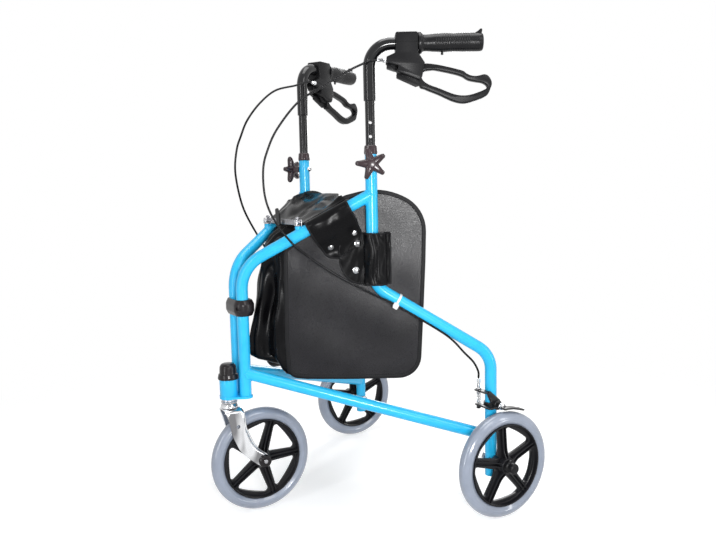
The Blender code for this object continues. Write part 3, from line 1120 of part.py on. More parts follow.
def build():
    """Model the whole walker."""
    clear_scene()
    frame_blue = finish("frame_blue", (0.045, 0.470, 0.850), 0.22)
    black_steel = finish("black_steel", (0.020, 0.020, 0.022), 0.25, 0.3)
    black_plastic = finish("black_plastic", (0.022, 0.022, 0.024), 0.45)
    grip_rubber = finish("grip_rubber", (0.025, 0.025, 0.028), 0.65)
    tyre_grey = finish("tyre_grey", (0.330, 0.370, 0.440), 0.40)
    chrome = finish("chrome", (0.780, 0.790, 0.800), 0.12, 1.0)
    zinc = finish("zinc", (0.620, 0.630, 0.640), 0.30, 1.0)
    bag_sheet = finish("bag_sheet", (0.030, 0.030, 0.034), 0.55)
    bag_vinyl = finish("bag_vinyl", (0.014, 0.014, 0.016), 0.25)
    clip_white = finish("clip_white", (0.750, 0.760, 0.780), 0.40)

    walker = axis_empty("walker", None, (0, -MIDDLE_Y, 0))
    sides = (1, -1)
    hinges = {s: axis_empty(f"hinge_axis_{s}", walker, (s * POST_HALF_SPACING, 0, 0), -s * FRAME_ANGLE) for s in sides}
    handles = {s: axis_empty(f"handle_axis_{s}", hinges[s], (0, 0, 0)) for s in sides}
    rockers = {s: axis_empty(f"rocker_axis_{s}", handles[s], (0, *ROCKER_PIVOT)) for s in sides}
    levers = {s: axis_empty(f"lever_axis_{s}", rockers[s], Vector((0, *LEVER_PIVOT)) - Vector((0, *ROCKER_PIVOT))) for s in sides}
    knobs = {s: axis_empty(f"knob_axis_{s}", hinges[s], (0, UPRIGHT_OUT, KNOB_Z)) for s in sides}
    legs = {s: axis_empty(f"leg_axis_{s}", hinges[s], (0, LEG_OUT, 0), s * FRAME_ANGLE) for s in sides}
    wheels = {s: axis_empty(f"wheel_axis_{s}", legs[s], (s * WHEEL_OUT, 0, AXLE_Z)) for s in sides}
    shoes = {s: axis_empty(f"shoe_axis_{s}", legs[s], (0, BRAKE_PIVOT_BACK, BRAKE_PIVOT_Z)) for s in sides}
    clevises = {s: axis_empty(f"clevis_axis_{s}", hinges[s], (0, BRACE_OUT, BRACE_Z), s * FRAME_ANGLE) for s in sides}
    links = {s: axis_empty(f"link_axis_{s}", clevises[s], (0, 0, 0)) for s in sides}
    caster = axis_empty("caster_axis", walker, (0, -HEAD_AHEAD, 0))
    front_wheel = axis_empty("front_wheel_axis", caster, (0, FORK_TRAIL, AXLE_Z))

    place("head_tube", shifted(head_tube(), y=-HEAD_AHEAD), walker, frame_blue)
    place("head_cap", shifted(head_cap(), y=-HEAD_AHEAD), walker, black_plastic)
    pin = hinge_pin()
    place("left_hinge_pin", shifted(pin.copy(), x=POST_HALF_SPACING), walker, zinc)
    place("right_hinge_pin", shifted(pin.copy(), x=-POST_HALF_SPACING), walker, zinc)
    place("post_sleeve", post_sleeve(), walker, black_plastic)
    place("caster_fork", caster_fork(), caster, chrome)
    place("caster_stem", caster_stem(), caster, zinc)
    place("front_axle", shifted(front_axle(), y=FORK_TRAIL, z=AXLE_Z), caster, zinc)
    place("front_tyre", tyre(), front_wheel, tyre_grey)
    place("front_rim", rim(), front_wheel, black_plastic)

    place_pair("frame", side_frame(), hinges, frame_blue)
    place_pair("upright_collar", upright_collar(), hinges, black_plastic)
    place_pair("knob", knob(), knobs, black_plastic)
    place_pair("knob_stud", knob_stud(), knobs, zinc)
    place_pair("handle_tube", handle_tube(), handles, black_steel)
    place_pair("grip", grip(), handles, grip_rubber)
    place_pair("brake_housing", brake_housing(), handles, black_plastic)
    rocker_shift = [0, -ROCKER_PIVOT[0], -ROCKER_PIVOT[1]]
    place_pair("brake_rocker", shifted(brake_rocker(), *rocker_shift), rockers, black_plastic)
    lever_shift = [0, -LEVER_PIVOT[0], -LEVER_PIVOT[1]]
    place_pair("brake_lever", shifted(brake_lever(), *lever_shift), levers, black_plastic)
    place("left_cable_adjuster", cable_adjuster(1), handles[1], chrome)
    place("right_cable_adjuster", cable_adjuster(1), handles[-1], chrome)
    place("left_brake_cable", brake_cable(1), hinges[1], black_plastic)
    place("right_brake_cable", brake_cable(-1), hinges[-1], black_plastic)
    place_pair("cable_clip", cable_clip(), hinges, clip_white)

    wheel_tyre = tyre()
    wheel_rim = rim()
    for side, name in ((1, "left"), (-1, "right")):
        place(f"{name}_tyre", wheel_tyre.copy(), wheels[side], tyre_grey)
        place(f"{name}_rim", wheel_rim.copy(), wheels[side], black_plastic)
    place_pair("rear_axle", shifted(rear_axle(), z=AXLE_Z), legs, zinc)
    place_pair("brake_bracket", brake_bracket(), legs, black_plastic)
    place_pair("brake_shoe", shifted(brake_shoe(), y=-BRAKE_PIVOT_BACK, z=-BRAKE_PIVOT_Z), shoes, black_steel)
    place_pair("brake_bolt", shifted(brake_bolt(), y=BRAKE_PIVOT_BACK, z=BRAKE_PIVOT_Z), legs, zinc)
    place_pair("cable_stop", cable_stop(), legs, chrome)
    place_pair("brake_spring", brake_spring(), legs, chrome)

    place_pair("brace_clevis", brace_clevis(), clevises, zinc)
    place("left_brace_link", brace_link(1), links[1], zinc)
    place("right_brace_link", brace_link(-1), links[-1], zinc)
    length = POST_HALF_SPACING + BRACE_OUT * math.sin(FRAME_ANGLE)
    place("fold_tab", shifted(fold_tab(), x=length), links[-1], black_plastic)

    place_pair("bag_panel", bag_panel(), hinges, bag_sheet)
    place_pair("bag_gusset", bag_gusset(), {1: walker, -1: walker}, bag_vinyl)


build()
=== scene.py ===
"""Looks of the folding three-wheel walking frame with its shopping bag.

Lengths are in metres. Left is +X and the user stands at +Y. The pieces of a side are
drawn in the plane of its frame as (off, out, z): off is outward and square to the
plane, out runs along the frame from its hinge post, and z is up.
"""
import logging
import math
from dataclasses import dataclass
from enum import Enum, auto
from typing import Callable, Optional, Sequence

import bmesh
import bpy
import numpy as np
from mathutils import Matrix


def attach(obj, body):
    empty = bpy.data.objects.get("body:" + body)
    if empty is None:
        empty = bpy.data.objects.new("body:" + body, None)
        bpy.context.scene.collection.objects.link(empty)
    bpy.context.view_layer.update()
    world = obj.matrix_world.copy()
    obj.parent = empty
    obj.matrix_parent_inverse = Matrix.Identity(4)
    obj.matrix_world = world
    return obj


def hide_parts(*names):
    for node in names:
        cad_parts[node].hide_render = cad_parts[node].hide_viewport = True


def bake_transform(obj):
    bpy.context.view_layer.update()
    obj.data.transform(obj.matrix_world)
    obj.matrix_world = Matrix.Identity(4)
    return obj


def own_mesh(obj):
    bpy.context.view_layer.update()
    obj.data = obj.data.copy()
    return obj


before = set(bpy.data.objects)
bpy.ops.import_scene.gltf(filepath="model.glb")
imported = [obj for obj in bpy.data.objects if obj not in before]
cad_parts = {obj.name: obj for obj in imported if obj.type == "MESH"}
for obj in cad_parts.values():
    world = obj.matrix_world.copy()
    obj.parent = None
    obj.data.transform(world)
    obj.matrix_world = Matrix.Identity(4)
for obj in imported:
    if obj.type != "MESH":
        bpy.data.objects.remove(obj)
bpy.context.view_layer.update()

LOG = logging.getLogger("walker")
Array = np.ndarray
Place = Callable[[Array], Array]
Mesh = bpy.types.Mesh
Item = bpy.types.Object


# Shapes

class End(Enum):
    """How a swept shape ends."""

    FLAT = auto()
    ROUND = auto()
    HOLLOW = auto()


def unit(vectors: Array) -> Array:
    """Vectors divided by their own lengths."""
    return vectors / np.maximum(np.linalg.norm(vectors, axis=-1, keepdims=True), 1e-12)


def fillet(corners: Sequence, radii: object, steps: int = 6, closed: bool = True) -> Array:
    """Path through corners with an arc at each.

    An arc is centre + radius * (across * sin(t) - bisector * cos(t)), for t over the turn.

    Args:
        corners: Points of the path, flat or in space.
        radii: One radius, or one for each corner; 0 keeps the corner.
        steps: Steps of an arc.
        closed: Whether the last point joins the first.

    Returns:
        Points of the path.
    """
    corners = np.asarray(corners, float)
    radii = np.broadcast_to(radii, len(corners))
    path = []
    for index, corner in enumerate(corners):
        if radii[index] <= 0 or (not closed and index in (0, len(corners) - 1)):
            path.append(corner[None])
            continue
        back = unit(corners[index - 1] - corner)
        ahead = unit(corners[(index + 1) % len(corners)] - corner)
        half = math.acos(np.clip(back @ ahead, -1, 1)) / 2
        bisector = unit(back + ahead)
        t = np.linspace(half - math.pi / 2, math.pi / 2 - half, steps + 1)[:, None]
        centre = corner + bisector * radii[index] / math.sin(half)
        path.append(centre + radii[index] * (unit(ahead - back) * np.sin(t) - bisector * np.cos(t)))
    return np.vstack(path)


def smooth(knots: Sequence, count: int, closed: bool = False) -> Array:
    """Evenly spaced points on a cubic curve through knots.

    Between knots b and c the curve is half of 2b + (c-a)t + (2a-5b+4c-d)t^2 + (3b-a-3c+d)t^3.

    Args:
        knots: Points that the curve passes.
        count: Number of points.
        closed: Whether the curve returns to its start.

    Returns:
        Points of the curve.
    """
    knots = np.asarray(knots, float)
    if closed:
        padded = np.vstack([knots[-1:], knots, knots[:2]])
    else:
        padded = np.vstack([2 * knots[:1] - knots[1:2], knots, 2 * knots[-1:] - knots[-2:-1]])
    a, b, c, d = (padded[shift:len(padded) - 3 + shift, None] for shift in range(4))
    t = (np.arange(24) / 24)[None, :, None]
    fine = (2 * b + (c - a) * t + (2 * a - 5 * b + 4 * c - d) * t ** 2 + (3 * b - a - 3 * c + d) * t ** 3) / 2
    fine = np.vstack([fine.reshape(-1, knots.shape[1]), knots[:1] if closed else knots[-1:]])
    return evenly(fine, count, closed)


def evenly(path: Array, count: int, closed: bool = False) -> Array:
    """The same path with its points at equal distances along it."""
    travelled = np.concatenate([[0.0], np.cumsum(np.linalg.norm(np.diff(path, axis=0), axis=1))])
    wanted = np.linspace(0, travelled[-1], count, endpoint=not closed)
    return np.stack([np.interp(wanted, travelled, path[:, axis]) for axis in range(path.shape[1])], -1)


def ring(radius: float, count: int = 28) -> Array:
    """Circle of count points: radius * (cos t, sin t)."""
    t = np.linspace(0, 2 * np.pi, count, endpoint=False)
    return radius * np.stack([np.cos(t), np.sin(t)], -1)


def slab(width: float, height: float, radius: float, steps: int = 3) -> Array:
    """Rectangle with rounded corners, centred."""
    x, y = width / 2, height / 2
    return fillet([(-x, -y), (x, -y), (x, y), (-x, y)], radius, steps)


def tangents(path: Array, closed: bool = False) -> Array:
    """Directions of a path, from each point's neighbours."""
    if closed:
        return unit(np.roll(path, -1, 0) - np.roll(path, 1, 0))
    return unit(np.gradient(path, axis=0))


def end_rows(row: Array, centre: Array, outward: Array, kind: End, wall: float, depth: float) -> Array:
    """Rows that close a swept shape beyond its last row.

    A row is centre + (row - centre) * scale + outward * shift; scale falls to 0.

    Args:
        row: Last row of the shape.
        centre: Its centre.
        outward: Direction out of the shape.
        kind: How it ends.
        wall: Thickness of a hollow shape's wall.
        depth: How far a hollow end goes in.

    Returns:
        The added rows.
    """
    spokes = row - centre
    reach = float(np.linalg.norm(spokes, axis=-1).mean())
    if kind is End.ROUND:
        angle = np.linspace(0, np.pi / 2, 7)[1:]
        scale, shift = np.cos(angle), reach * np.sin(angle)
    else:
        edge = min(0.0006, reach / 4)
        angle = np.array([0.52, 1.05, 1.5707])
        scale = 1 - edge / reach * (1 - np.cos(angle))
        shift = edge * np.sin(angle)
        if kind is End.HOLLOW:
            scale = np.append(scale, [1 - wall / reach] * 2)
            shift = np.append(shift, [edge, -depth])
        scale = np.append(scale, 0.0)
        shift = np.append(shift, shift[-1])
    return centre + spokes * scale[:, None, None] + outward * shift[:, None, None]


def sweep(path: Array, section: Array, aside: Sequence, closed: bool = False,
          ends: tuple = (End.FLAT, End.FLAT), wall: float = 0.0018, depth: float = 0.03) -> Array:
    """Section carried along a path.

    A point is path + a * section.x + b * section.y, where a is aside made square to the
    path's direction and b is the direction crossed with a.

    Args:
        path: Points in space.
        section: Outline, one for the whole path or one for each point.
        aside: Direction that the section's x keeps to, one or one for each point.
        closed: Whether the path is a loop.
        ends: How it starts and ends.
        wall: Thickness of a hollow end's wall.
        depth: Depth of a hollow end.

    Returns:
        Grid of points, one row for each point of the path and the rows that close it.
    """
    path = np.asarray(path, float)
    along = tangents(path, closed)
    aside = np.broadcast_to(np.asarray(aside, float), path.shape)
    a = unit(aside - (along * aside).sum(-1, keepdims=True) * along)
    b = np.cross(along, a)
    section = np.broadcast_to(section, (len(path), *np.shape(section)[-2:]))
    grid = path[:, None] + section[..., :1] * a[:, None] + section[..., 1:] * b[:, None]
    if closed:
        return grid
    first = end_rows(grid[0], path[0], -along[0], ends[0], wall, depth)[::-1]
    last = end_rows(grid[-1], path[-1], along[-1], ends[1], wall, depth)
    return np.concatenate([first, grid, last])


def turned(profile: Sequence, origin: Sequence = (0, 0, 0), axis: Sequence = (0, 0, 1),
           around: int = 40) -> Array:
    """Profile turned about an axis: origin + axis * along + radius * (u cos t + v sin t).

    Args:
        profile: Pairs of radius and distance along the axis.
        origin: Point on the axis.
        axis: Direction of the axis.
        around: Number of points round it.

    Returns:
        Grid of points, one row for each pair.
    """
    profile = np.asarray(profile, float)
    axis = unit(np.asarray(axis, float))
    u = unit(np.cross(axis, (0.0, 0.0, 1.0) if abs(axis[2]) < 0.9 else (0.0, 1.0, 0.0)))
    v = np.cross(axis, u)
    t = np.linspace(0, 2 * np.pi, around, endpoint=False)[None, :, None]
    round_it = np.cos(t) * u + np.sin(t) * v
    return np.asarray(origin, float) + profile[:, 1, None, None] * axis + profile[:, 0, None, None] * round_it


def bar(radius: float, low: float, high: float, edge: float = 0.0, steps: int = 2) -> Array:
    """Profile of a round bar, with its rims rounded by edge."""
    return fillet([(0, low), (radius, low), (radius, high), (0, high)], [0, edge, edge, 0], steps, False)


def hoop(inner: float, outer: float, low: float, high: float, edge: float, steps: int = 2) -> Array:
    """Profile of a ring between two radii, with its edges rounded."""
    return fillet([(inner, low), (outer, low), (outer, high), (inner, high)], edge, steps)


def softened(values: Array, width: int, kept: int) -> Array:
    """Values averaged with their neighbours under a raised cosine; the first and last kept stay."""
    kernel = np.hanning(width) / np.hanning(width).sum()
    result = values.copy()
    result[kept:-kept] = np.convolve(values, kernel, "same")[kept:-kept]
    return result


def meshed(item: Item) -> Mesh:
    """Mesh of an object with its modifiers applied; the object is removed."""
    bpy.context.view_layer.update()
    mesh = bpy.data.meshes.new_from_object(item.evaluated_get(bpy.context.evaluated_depsgraph_get()))
    bpy.data.objects.remove(item, do_unlink=True)
    return mesh


def linked(data: object, name: str = "work") -> Item:
    """New object that shows data."""
    item = bpy.data.objects.new(name, data)
    bpy.context.scene.collection.objects.link(item)
    return item


def closed_up(mesh: Mesh, distance: float = 2e-6) -> Mesh:
    """Mesh with coincident points merged and every face turned outward."""
    bm = bmesh.new()
    bm.from_mesh(mesh)
    bmesh.ops.remove_doubles(bm, verts=bm.verts, dist=distance)
    bmesh.ops.dissolve_degenerate(bm, edges=bm.edges, dist=distance / 2)
    bmesh.ops.recalc_face_normals(bm, faces=bm.faces)
    bm.to_mesh(mesh)
    bm.free()
    return mesh


def prism(outline: Sequence, low: float, high: float, holes: Sequence = (), bevel: float = 0.0006,
          rounds: int = 1) -> Mesh:
    """Flat plate with rounded edges: outline in X and Y, from low to high in Z."""
    curve = bpy.data.curves.new("outline", "CURVE")
    curve.dimensions = "2D"
    curve.fill_mode = "BOTH"
    curve.extrude = (high - low) / 2 - bevel
    curve.bevel_depth = bevel
    curve.bevel_resolution = rounds
    curve.offset = -bevel
    for loop in (outline, *holes):
        loop = np.asarray(loop, float)
        spline = curve.splines.new("POLY")
        spline.points.add(len(loop) - 1)
        rows = np.column_stack([loop[:, :2], np.zeros(len(loop)), np.ones(len(loop))])
        spline.points.foreach_set("co", rows.ravel())
        spline.use_cyclic_u = True
    mesh = meshed(linked(curve))
    mesh.transform(Matrix.Translation((0, 0, (low + high) / 2)))
    return closed_up(mesh)


def points_of(mesh: Mesh) -> Array:
    """Places of a mesh's points."""
    flat = np.empty(len(mesh.vertices) * 3)
    mesh.vertices.foreach_get("co", flat)
    return flat.reshape(-1, 3)


class Skin:
    """Surfaces gathered into one mesh, each put in its place by one rule."""

    def __init__(self, place: Place) -> None:
        """Empty skin whose points go through place."""
        self.place = place
        self.points: list[Array] = []
        self.faces: list[list[int]] = []
        self.total = 0

    def grid(self, points: Array, loop_rows: bool = False, loop_columns: bool = True) -> "Skin":
        """Add a grid of points as quads.

        Args:
            points: Rows of points in space.
            loop_rows: Whether the last row joins the first.
            loop_columns: Whether each row is a loop.

        Returns:
            The skin itself.
        """
        rows, columns = points.shape[:2]
        index = np.arange(rows * columns).reshape(rows, columns) + self.total
        if loop_rows:
            index = np.vstack([index, index[:1]])
        if loop_columns:
            index = np.hstack([index, index[:, :1]])
        quads = np.stack([index[:-1, :-1], index[1:, :-1], index[1:, 1:], index[:-1, 1:]], -1)
        self.points.append(self.place(points.reshape(-1, 3)))
        self.faces += quads.reshape(-1, 4).tolist()
        self.total += rows * columns
        return self

    def turn(self, profile: Sequence, origin: Sequence = (0, 0, 0), axis: Sequence = (0, 0, 1),
             around: int = 40, loop: bool = False) -> "Skin":
        """Add a profile turned about an axis; a profile that is a loop makes a ring."""
        return self.grid(turned(profile, origin, axis, around), loop_rows=loop)

    def solid(self, mesh: Mesh, order: Sequence = (0, 1, 2), shift: Sequence = (0, 0, 0)) -> "Skin":
        """Add a mesh, with its axes taken in another order and then shifted."""
        points = points_of(mesh)[:, list(order)] + np.asarray(shift, float)
        self.points.append(self.place(points))
        self.faces += [[corner + self.total for corner in face.vertices] for face in mesh.polygons]
        self.total += len(points)
        bpy.data.meshes.remove(mesh)
        return self

    def mesh(self) -> Mesh:
        """One closed mesh of all that was added."""
        mesh = bpy.data.meshes.new("skin")
        mesh.from_pydata(np.vstack(self.points), [], self.faces)
        return closed_up(mesh)


def walled(surface: Array, place: Place, thick: float) -> Mesh:
    """Closed sheet of a thickness about a grid of its middle surface."""
    item = linked(Skin(place).grid(surface, loop_columns=False).mesh())
    wall = item.modifiers.new("wall", "SOLIDIFY")
    wall.thickness = thick
    wall.offset = 0
    return closed_up(meshed(item))


def carved(mesh: Mesh, tools: Sequence[Mesh], operation: str = "DIFFERENCE") -> Mesh:
    """Mesh changed by each closed tool in turn."""
    item = linked(mesh)
    guides = [linked(tool) for tool in tools]
    for guide in guides:
        change = item.modifiers.new("change", "BOOLEAN")
        change.operation = operation
        change.solver = "EXACT"
        change.use_self = True
        change.object = guide
    result = meshed(item)
    for guide in guides:
        bpy.data.objects.remove(guide, do_unlink=True)
    return closed_up(result)


# Finishes

class Nodes:
    """Short way to write a node tree."""

    def __init__(self, tree: bpy.types.NodeTree) -> None:
        """Writer for one tree."""
        self.tree = tree

    def add(self, kind: str, settings: Optional[dict] = None, **inputs: object) -> bpy.types.Node:
        """Add a node.

        Args:
            kind: Its type's name after ShaderNode.
            settings: Properties of the node.
            inputs: Values or sockets for its inputs; an underscore stands for a space.

        Returns:
            The node.
        """
        node = self.tree.nodes.new("ShaderNode" + kind)
        for name, value in (settings or {}).items():
            setattr(node, name, value)
        for name, value in inputs.items():
            numbered = name[0] == "i" and name[1:].isdigit()
            socket = node.inputs[int(name[1:]) if numbered else name.replace("_", " ")]
            if isinstance(value, bpy.types.NodeSocket):
                self.tree.links.new(value, socket)
            else:
                socket.default_value = value
        return node


def fresh_nodes(owner: object) -> Nodes:
    """Writer for the emptied node tree of a material or of the surroundings."""
    owner.use_nodes = True
    owner.node_tree.nodes.clear()
    return Nodes(owner.node_tree)


class Pattern(Enum):
    """Relief that a finish carries; chrome's also paints reflection bands into its colour."""

    SMOOTH = "smooth"
    LEATHER = "leather"
    CREASED = "creased"
    WOVEN = "woven"
    MOULDED = "moulded"
    BRUSHED = "brushed"
    POLISHED = "polished"


def relief_group(pattern: Pattern) -> bpy.types.NodeTree:
    """Shader group of a relief, with its height, its mask and a slow mottling; for chrome the mottling is
    painted reflection, stretched dark and bright bands.

    Args:
        pattern: Which relief.

    Returns:
        The group, made on first use. Scale is in features per metre.
    """
    name = "relief_" + pattern.value
    if name in bpy.data.node_groups:
        return bpy.data.node_groups[name]
    tree = bpy.data.node_groups.new(name, "ShaderNodeTree")
    scale = tree.interface.new_socket(name="Scale", in_out="INPUT", socket_type="NodeSocketFloat")
    scale.default_value = 400.0
    for output in ("Height", "Mask", "Mottle"):
        tree.interface.new_socket(name=output, in_out="OUTPUT", socket_type="NodeSocketFloat")
    nodes = Nodes(tree)
    size = tree.nodes.new("NodeGroupInput").outputs["Scale"]
    result = tree.nodes.new("NodeGroupOutput")
    place = nodes.add("TexCoord").outputs["Object"]
    slow_tone_and_reflection = nodes.add("TexNoise", Vector=place, Scale=23.0, Detail=3.0, Roughness=0.55).outputs["Fac"]
    fine = nodes.add("TexNoise", Vector=place, Scale=size, Detail=2.0, Roughness=0.6).outputs["Fac"]
    if pattern is Pattern.LEATHER:
        cells = nodes.add("TexVoronoi", {"feature": "DISTANCE_TO_EDGE"}, Vector=place,
                          Scale=size).outputs["Distance"]
        pebble = nodes.add("MapRange", i0=cells, i1=0.0, i2=0.22, i3=0.0, i4=1.0).outputs[0]
        height = nodes.add("Math", {"operation": "MULTIPLY_ADD"}, i0=fine, i1=0.35, i2=pebble).outputs[0]
        mask = pebble
    elif pattern is Pattern.CREASED:
        warp = nodes.add("TexNoise", Vector=place, Scale=16.0, Detail=2.0).outputs["Color"]
        bent = nodes.add("Mix", {"data_type": "VECTOR"}, i0=0.12, i4=place, i5=warp).outputs[1]
        folds = nodes.add("TexVoronoi", {"feature": "SMOOTH_F1"}, Vector=bent, Scale=34.0,
                          Smoothness=0.6).outputs["Distance"]
        height = nodes.add("Math", {"operation": "MULTIPLY_ADD"}, i0=folds, i1=1.6, i2=fine).outputs[0]
        mask = folds
    elif pattern is Pattern.WOVEN:
        turned_place = nodes.add("Mapping", Vector=place, Rotation=(0.6, 0.35, 0.78)).outputs[0]
        warp_threads = nodes.add("TexWave", {"bands_direction": "X"}, Vector=turned_place, Scale=size,
                                 Distortion=0.4).outputs["Fac"]
        weft_threads = nodes.add("TexWave", {"bands_direction": "Z"}, Vector=turned_place, Scale=size,
                                 Distortion=0.4).outputs["Fac"]
        height = nodes.add("Math", {"operation": "MULTIPLY"}, i0=warp_threads, i1=weft_threads).outputs[0]
        mask = height
    elif pattern is Pattern.BRUSHED:
        drawn = nodes.add("Mapping", Vector=place, Scale=(1.0, 1.0, 0.06)).outputs[0]
        height = nodes.add("TexNoise", Vector=drawn, Scale=size, Detail=3.0).outputs["Fac"]
        mask = height
    elif pattern is Pattern.POLISHED:
        # Painted reflection: stretched noise bands that swing chrome's colour between dark and bright,
        # standing in for reflected surroundings.
        drawn = nodes.add("Mapping", Vector=place, Scale=(1.0, 1.0, 0.45)).outputs[0]
        band = nodes.add("TexNoise", Vector=drawn, Scale=34.0, Detail=1.0, Distortion=0.3).outputs["Fac"]
        slow_tone_and_reflection = nodes.add("MapRange", i0=band, i1=0.32, i2=0.6, i3=0.2, i4=0.8).outputs[0]
        height, mask = fine, slow_tone_and_reflection
    elif pattern is Pattern.MOULDED:
        pits = nodes.add("TexVoronoi", {"feature": "F1"}, Vector=place, Scale=size).outputs["Distance"]
        height = nodes.add("Math", {"operation": "ADD"}, i0=pits, i1=fine).outputs[0]
        mask = pits
    else:
        height, mask = fine, slow_tone_and_reflection
    tree.links.new(height, result.inputs["Height"])
    tree.links.new(mask, result.inputs["Mask"])
    tree.links.new(slow_tone_and_reflection, result.inputs["Mottle"])
    return tree


@dataclass(frozen=True)
class Finish:
    """One finish: two colours that mottle, a relief, and a shine that varies; on chrome the two colours lie
    far apart and mottle as painted reflection bands.
    """

    name: str
    dark: tuple
    light: tuple
    rough: tuple = (0.3, 0.4)
    pattern: Pattern = Pattern.SMOOTH
    scale: float = 400.0
    relief: float = 0.1
    depth: float = 0.0002
    metal: float = 0.0
    coat: float = 0.0
    coat_rough: float = 0.05
    specular: float = 0.5

    def material(self) -> bpy.types.Material:
        """The finish's material, made on first use."""
        if self.name in bpy.data.materials:
            return bpy.data.materials[self.name]
        material = bpy.data.materials.new(self.name)
        nodes = fresh_nodes(material)
        relief = nodes.tree.nodes.new("ShaderNodeGroup")
        relief.node_tree = relief_group(self.pattern)
        relief.inputs["Scale"].default_value = self.scale
        height, mask, mottle_and_reflection = (relief.outputs[name] for name in ("Height", "Mask", "Mottle"))
        # Random tone for most finishes; for chrome this mix paints reflection bands, dark to bright.
        share = nodes.add("MapRange", i0=mottle_and_reflection, i1=0.3, i2=0.7, i3=0.0, i4=1.0).outputs[0]
        colour = nodes.add("Mix", {"data_type": "RGBA"}, i0=share, i6=(*self.dark, 1.0),
                           i7=(*self.light, 1.0)).outputs[2]
        rough = nodes.add("MapRange", i0=mask, i1=0.2, i2=0.8, i3=self.rough[0], i4=self.rough[1]).outputs[0]
        bump = nodes.add("Bump", Strength=self.relief, Distance=self.depth, Height=height).outputs[0]
        shader = nodes.add("BsdfPrincipled", Base_Color=colour, Roughness=rough, Normal=bump,
                           Metallic=self.metal, Coat_Weight=self.coat, Coat_Roughness=self.coat_rough,
                           Specular_IOR_Level=self.specular)
        nodes.add("OutputMaterial", Surface=shader.outputs[0])
        material.diffuse_color = (*self.light, 1.0)
        return material


FRAME_BLUE = Finish("powder_blue", (0.018, 0.45, 0.81), (0.025, 0.5, 0.86), (0.2, 0.26), Pattern.SMOOTH,
                    900.0, 0.05, 0.0001, coat=0.2, coat_rough=0.08, specular=0.32)
BLACK_STEEL = Finish("gloss_black_steel", (0.004, 0.004, 0.005), (0.007, 0.007, 0.008), (0.13, 0.19),
                     Pattern.SMOOTH, 700.0, 0.05, 0.0001, coat=0.35, coat_rough=0.05, specular=0.22)
SHOE_STEEL = Finish("satin_black_steel", (0.007, 0.007, 0.008), (0.011, 0.011, 0.012), (0.28, 0.38),
                    Pattern.MOULDED, 900.0, 0.12, 0.0001, specular=0.3)
DARK_STEEL = Finish("dark_steel", (0.18, 0.18, 0.195), (0.31, 0.31, 0.33), (0.22, 0.32), Pattern.BRUSHED,
                    700.0, 0.12, 0.0001, metal=1.0)
BLACK_PLASTIC = Finish("matt_black_plastic", (0.005, 0.005, 0.006), (0.009, 0.009, 0.01), (0.3, 0.42),
                       Pattern.MOULDED, 1100.0, 0.18, 0.0001, specular=0.18)
GLOSS_PLASTIC = Finish("gloss_black_plastic", (0.007, 0.006, 0.007), (0.013, 0.01, 0.012), (0.18, 0.26),
                       Pattern.SMOOTH, 500.0, 0.05, 0.0001, coat=0.1, specular=0.22)
SMOKY_PLASTIC = Finish("smoky_plastic", (0.02, 0.011, 0.014), (0.04, 0.023, 0.028), (0.2, 0.3),
                       Pattern.SMOOTH, 420.0, 0.08, 0.0002, coat=0.2, specular=0.3)
RIM_PLASTIC = Finish("wheel_plastic", (0.006, 0.006, 0.008), (0.011, 0.011, 0.013), (0.26, 0.36),
                     Pattern.MOULDED, 900.0, 0.12, 0.0001, specular=0.2)
GRIP_RUBBER = Finish("ribbed_rubber", (0.004, 0.004, 0.005), (0.008, 0.008, 0.009), (0.22, 0.34),
                     Pattern.CREASED, 1300.0, 0.3, 0.0004, specular=0.24)
TYRE_GREY = Finish("grey_tyre", (0.225, 0.258, 0.325), (0.275, 0.312, 0.39), (0.18, 0.26), Pattern.SMOOTH,
                   300.0, 0.08, 0.0002, coat=0.6, coat_rough=0.07)
# Chrome: its colour runs from dark to bright in painted reflection bands.
REFLECTION_PAINTED_CHROME = Finish("polished_chrome", (0.25, 0.25, 0.26), (0.86, 0.87, 0.89), (0.08, 0.18), Pattern.POLISHED,
                95.0, 0.1, 0.0003, metal=1.0)
ZINC = Finish("plated_zinc", (0.36, 0.36, 0.38), (0.5, 0.5, 0.52), (0.22, 0.34), Pattern.BRUSHED, 900.0, 0.12,
              0.0001, metal=1.0)
LEATHERETTE = Finish("bag_leatherette", (0.004, 0.0038, 0.0056), (0.008, 0.0076, 0.0102), (0.26, 0.32),
                     Pattern.LEATHER, 620.0, 0.16, 0.0003, specular=0.28)
VINYL = Finish("creased_vinyl", (0.0015, 0.0015, 0.002), (0.0035, 0.0035, 0.0042), (0.23, 0.31),
               Pattern.CREASED, 60.0, 0.12, 0.0008, specular=0.11)
BINDING = Finish("bag_binding", (0.004, 0.004, 0.005), (0.008, 0.008, 0.009), (0.45, 0.6), Pattern.WOVEN,
                 380.0, 0.3, 0.0002, specular=0.16)
THREAD = Finish("bag_thread", (0.012, 0.012, 0.014), (0.022, 0.022, 0.025), (0.5, 0.6), Pattern.WOVEN, 900.0,
                0.2, 0.0001, specular=0.2)
CABLE_SKIN = Finish("cable_housing", (0.003, 0.003, 0.004), (0.005, 0.005, 0.006), (0.22, 0.3),
                    Pattern.SMOOTH, 300.0, 0.04, 0.0001, specular=0.16)
CLIP_WHITE = Finish("white_clip", (0.7, 0.71, 0.73), (0.78, 0.79, 0.81), (0.3, 0.4), Pattern.SMOOTH, 700.0,
                    0.06, 0.0001)


